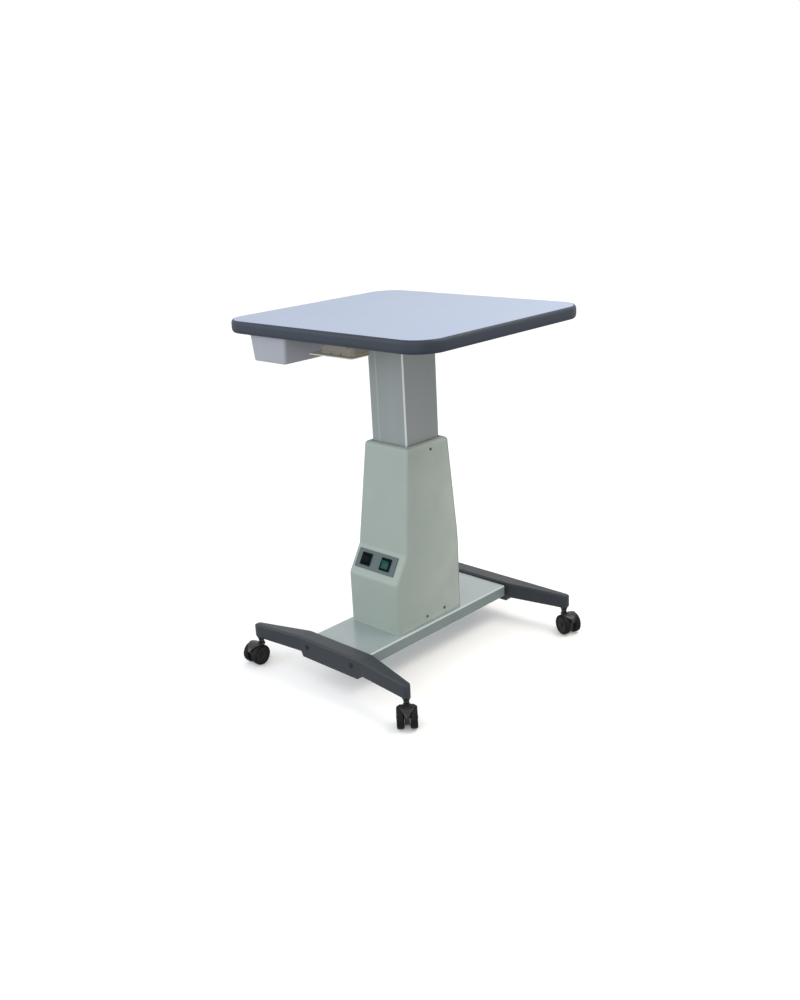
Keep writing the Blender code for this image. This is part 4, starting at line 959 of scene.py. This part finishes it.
def wheel_mesh():
    """A wheel about Z: +Z is its outer face, with a dished disc and a hub cap."""
    half, shoulder, steps, cap_gap = WHEEL_HALF, WHEEL_SHOULDER, 5, 0.0001
    edge = WHEEL_RADIUS - shoulder
    hub = [(0, 0.0006), (0.0018, 0.0005), (0.0034, 0.0002), (0.0046, -0.0002)]
    disc = [(0.0050, -0.0010), (0.0062, -0.0014), (0.0108, -0.0012), (0.0138, -0.0008)]
    rim = [(0.0146, -0.0002), (0.0152, -0.0001), (WHEEL_DISC, -0.0006), (0.0160, -0.0001)]
    profile = [(radius, half + rise) for radius, rise in hub + disc + rim]
    profile += [(edge, half)]
    turns = [math.pi / 2 * i / steps for i in range(steps + 1)]
    profile += [
        (edge + shoulder * math.sin(a), half - shoulder + shoulder * math.cos(a)) for a in turns[1:]
    ]
    profile += [(edge + shoulder * math.cos(a), -half + shoulder - shoulder * math.sin(a)) for a in turns]
    profile += [(WHEEL_BORE, -half), (WHEEL_BORE, half + cap_gap), (0, half + cap_gap)]
    mesh = lathe(profile, 64)
    for face in mesh.polygons:
        face.material_index = 0 if Vector(face.center[:2]).length > WHEEL_DISC else 1
    return mesh


def stem_mesh():
    profile = [(0.0034, 0.0180), (0.0040, 0.0174), (0.0040, 0.0), (0.0050, -0.0003), (0.0055, -0.0007)]
    profile += [(0.0055, -0.0018), (0.0050, -0.0023), (0.0025, -0.0023), (0.0025, -0.0133)]
    return lathe(profile, 32)


def make_casters():
    hood, wheel, stem = hood_mesh(), wheel_mesh(), stem_mesh()
    for name in ("front_left", "front_right", "rear_right", "rear_left"):
        x, y, _ = JOINTS[name + "_swivel"]["pos_m"]
        axle = JOINTS[name + "_roll_a"]["axis"]
        yaw = math.atan2(-axle[0], axle[1])
        caster = at(x, y, 0, (0, 0, yaw))
        pin = moved(stem.copy(), at(x, y, CASTER_HEIGHT))
        show(name + "_stem_pin", pin, DARK_STEEL, "base", "steel_parts", name + "_stem")
        hood_name = name + "_hood"
        shell = moved(hood.copy(), caster)
        show(hood_name + "_shell", shell, HOOD_PLASTIC, name + "_caster", "black_plastic", hood_name)
        dress(name + "_axle", STEEL)
        for sign, word in ((-1, "a"), (1, "b")):
            place = caster @ at(TRAIL, sign * WHEEL_OFFSET, WHEEL_RADIUS, (-sign * math.pi / 2, 0, 0))
            node = f"{name}_wheel_{word}"
            tyre = moved(wheel.copy(), place)
            show(node + "_tyre", tyre, [TYRE, BLACK_PLASTIC], node, "wheel", node)


def make_drawer():
    low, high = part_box("accessory_drawer")
    centre = ((low.x + high.x) / 2, (low.y + high.y) / 2)
    rim, rim_thick, wall, corner = 0.004, 0.002, 0.0025, 0.005
    side_draft, end_draft = 0.0049, 0.0015
    neck_rise, neck_out, arris = 0.001, 0.0006, 0.0004
    fillet, fillet_steps, corner_steps = 0.003, 6, 10
    half = ((high.x - low.x) / 2 - rim, (high.y - low.y) / 2 - rim)
    top, bottom = high.z, low.z
    rim_low = top - rim_thick
    floor = bottom + wall

    def ring(inset, z):
        drawn_in = max(0.0, (rim_low - z) / (rim_low - bottom))
        half_x = half[0] - inset - side_draft * drawn_in
        half_y = half[1] - inset - end_draft * drawn_in
        return level(rounded(half_x, half_y, max(corner - inset, LEAST_ROUND), corner_steps), z, centre)

    turns = [math.pi / 2 * i / fillet_steps for i in range(fillet_steps + 1)]
    stations = [(fillet * (1 - math.sin(a)), bottom + fillet * (1 - math.cos(a))) for a in turns]
    stations += [(0.0, rim_low - neck_rise), (-neck_out, rim_low)]
    stations += [(-rim + arris, rim_low), (-rim, rim_low + arris), (-rim, top - arris), (-rim + arris, top)]
    stations += [(wall - arris, top), (wall, top - arris)]
    for a in reversed(turns):
        stations.append((wall + fillet * (1 - math.sin(a)), floor + fillet * (1 - math.cos(a))))
    rings = [ring(inset, z) for inset, z in stations]
    show("drawer_tray", loft(rings, capped=True), DRAWER_PLASTIC, "drawer", "drawer", "accessory_drawer")

    head = screw_head(*RUNNER_SCREW)
    flange_middle, screw_margin, flange_thick = 0.004, 0.014, 0.0015
    screws = []
    for node in ("drawer_runner_left", "drawer_runner_right"):
        dress(node, ZINC)
        rail_low, rail_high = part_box(node)
        outer = rail_low.x + flange_middle if rail_low.x < centre[0] else rail_high.x - flange_middle
        ends = (rail_low.y + screw_margin, rail_high.y - screw_margin)
        for y in (ends[0], (rail_low.y + rail_high.y) / 2, ends[1]):
            screws.append(moved(head.copy(), at(outer, y, rail_high.z - flange_thick, (math.pi, 0, 0.4))))
    show("runner_screws", joined(screws), STEEL, "lift", "steel_parts")


def make_outlet():
    low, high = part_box("outlet_box")
    centre = ((low.x + high.x) / 2, (low.y + high.y) / 2)
    half = ((high.x - low.x) / 2, (high.y - low.y) / 2)
    corner, corner_steps = 0.009, 8
    lower_edge = [(0.0016, 0.0), (0.0005, 0.0004), (0.0, 0.0016)]
    shut_line = [(0.0, 0.0060), (0.0004, 0.0064), (0.0004, 0.0070), (0.0, 0.0074)]
    rings = []
    for inset, rise in lower_edge + shut_line + [(0.0, high.z - low.z)]:
        outline = rounded(half[0] - inset, half[1] - inset, corner - inset, corner_steps)
        rings.append(level(outline, low.z + rise, centre))
    show("outlet_case", loft(rings, capped=True), OUTLET_PLASTIC, "lift", "outlet", "outlet_box")

    head = screw_head(*OUTLET_SCREW)
    turn = (math.pi / 2, 0, 0.6)
    screws = [moved(head.copy(), at(x, low.y, low.z + z, turn)) for x, z in OUTLET_SCREWS]
    show("outlet_screws", joined(screws), DARK_STEEL, "lift", "steel_parts")

    low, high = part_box("outlet_lid")
    centre = ((low.x + high.x) / 2, (low.y + high.y) / 2)
    half = ((high.x - low.x) / 2, (high.y - low.y) / 2)
    lid_corner, lid_arris = 0.005, 0.0007
    lid = sheet([rounded(*half, lid_corner, 6)], high.z - low.z, lid_arris)
    lid = moved(lid, at(*centre, (low.z + high.z) / 2))
    show("outlet_tray", lid, LID_PLASTIC, "lift", "drawer", "outlet_lid")


def dress_inner_nodes():
    for node in ("head_plate", "fixed_column", "actuator_bracket"):
        dress(node, ZINC)
    for node in ("upper_pin", "lower_pin", "push_rod", "lead_screw"):
        dress(node, STEEL)
    for node in ("actuator_gearbox", "actuator_motor", "control_box"):
        dress(node, BLACK_PLASTIC)
    dress("actuator_tube", ANODISED)
    dress("transformer", COPPER)


def make_stage():
    """A pale floor, a white studio that is dimmer from below, and three soft lamps."""
    bm = bmesh.new()
    bmesh.ops.create_grid(bm, x_segments=8, y_segments=8, size=FLOOR_HALF)
    floor = bpy.data.objects.new("floor", finished(bm, "floor"))
    SCENE.collection.objects.link(floor)
    paint = finish("floor_pale", (246, 246, 247), 0.7, mottle=0.004, mottle_scale=2, grain=300,
                   depth=0.00001)
    shader = paint.node_tree.nodes["Principled BSDF"]
    shader.inputs["Emission Color"].default_value = (1, 1, 1, 1)
    shader.inputs["Emission Strength"].default_value = FLOOR_GLOW
    floor.data.materials.append(paint)
    floor.visible_diffuse = False
    floor.visible_glossy = False

    world = bpy.data.worlds.new("studio")
    SCENE.world = world
    world.use_nodes = True
    tree = world.node_tree
    background = tree.nodes["Background"]
    background.inputs["Color"].default_value = (1, 1, 1, 1)
    toward = add(tree, "ShaderNodeTexCoord").outputs["Generated"]
    height = add(tree, "ShaderNodeSeparateXYZ", inputs={0: toward}).outputs[2]
    strength = spread(tree, height, UNDER_LIGHT, 1.0, *HORIZON)
    tree.links.new(strength, background.inputs["Strength"])

    for name, place, size, power, colour in LAMPS:
        light = bpy.data.lights.new(name, "AREA")
        light.shape = "DISK"
        light.size = size
        light.energy = power
        light.color = colour
        lamp = bpy.data.objects.new(name, light)
        lamp.visible_camera = False
        SCENE.collection.objects.link(lamp)
        aim = LAMP_AIM - Vector(place)
        lamp.matrix_world = Matrix.LocRotScale(Vector(place), aim.to_track_quat("-Z", "Y"), None)


def make_camera():
    azimuth, elevation, roll = (math.radians(v) for v in CAMERA_TURN)
    forward = Vector(
        (
            -math.sin(azimuth) * math.cos(elevation),
            math.cos(azimuth) * math.cos(elevation),
            -math.sin(elevation),
        )
    )
    flat_right = Vector((math.cos(azimuth), math.sin(azimuth), 0))
    flat_up = flat_right.cross(forward)
    right = math.cos(roll) * flat_right + math.sin(roll) * flat_up
    up = right.cross(forward)
    data = bpy.data.cameras.new("camera")
    data.sensor_fit = "AUTO"
    data.sensor_width = CAMERA_SENSOR
    data.lens = CAMERA_LENS
    data.clip_start = CAMERA_NEAR
    camera = bpy.data.objects.new("camera", data)
    SCENE.collection.objects.link(camera)
    turn = Matrix((right, up, -forward)).transposed()
    camera.matrix_world = Matrix.LocRotScale(CAMERA_PLACE, turn.to_quaternion(), None)
    SCENE.camera = camera
    SCENE.view_settings.view_transform = "Standard"


make_table_top()
make_column()
make_cover()
make_switches()
make_inlet()
make_beam()
make_feet()
make_casters()
make_drawer()
make_outlet()
dress_inner_nodes()
make_stage()
make_camera()
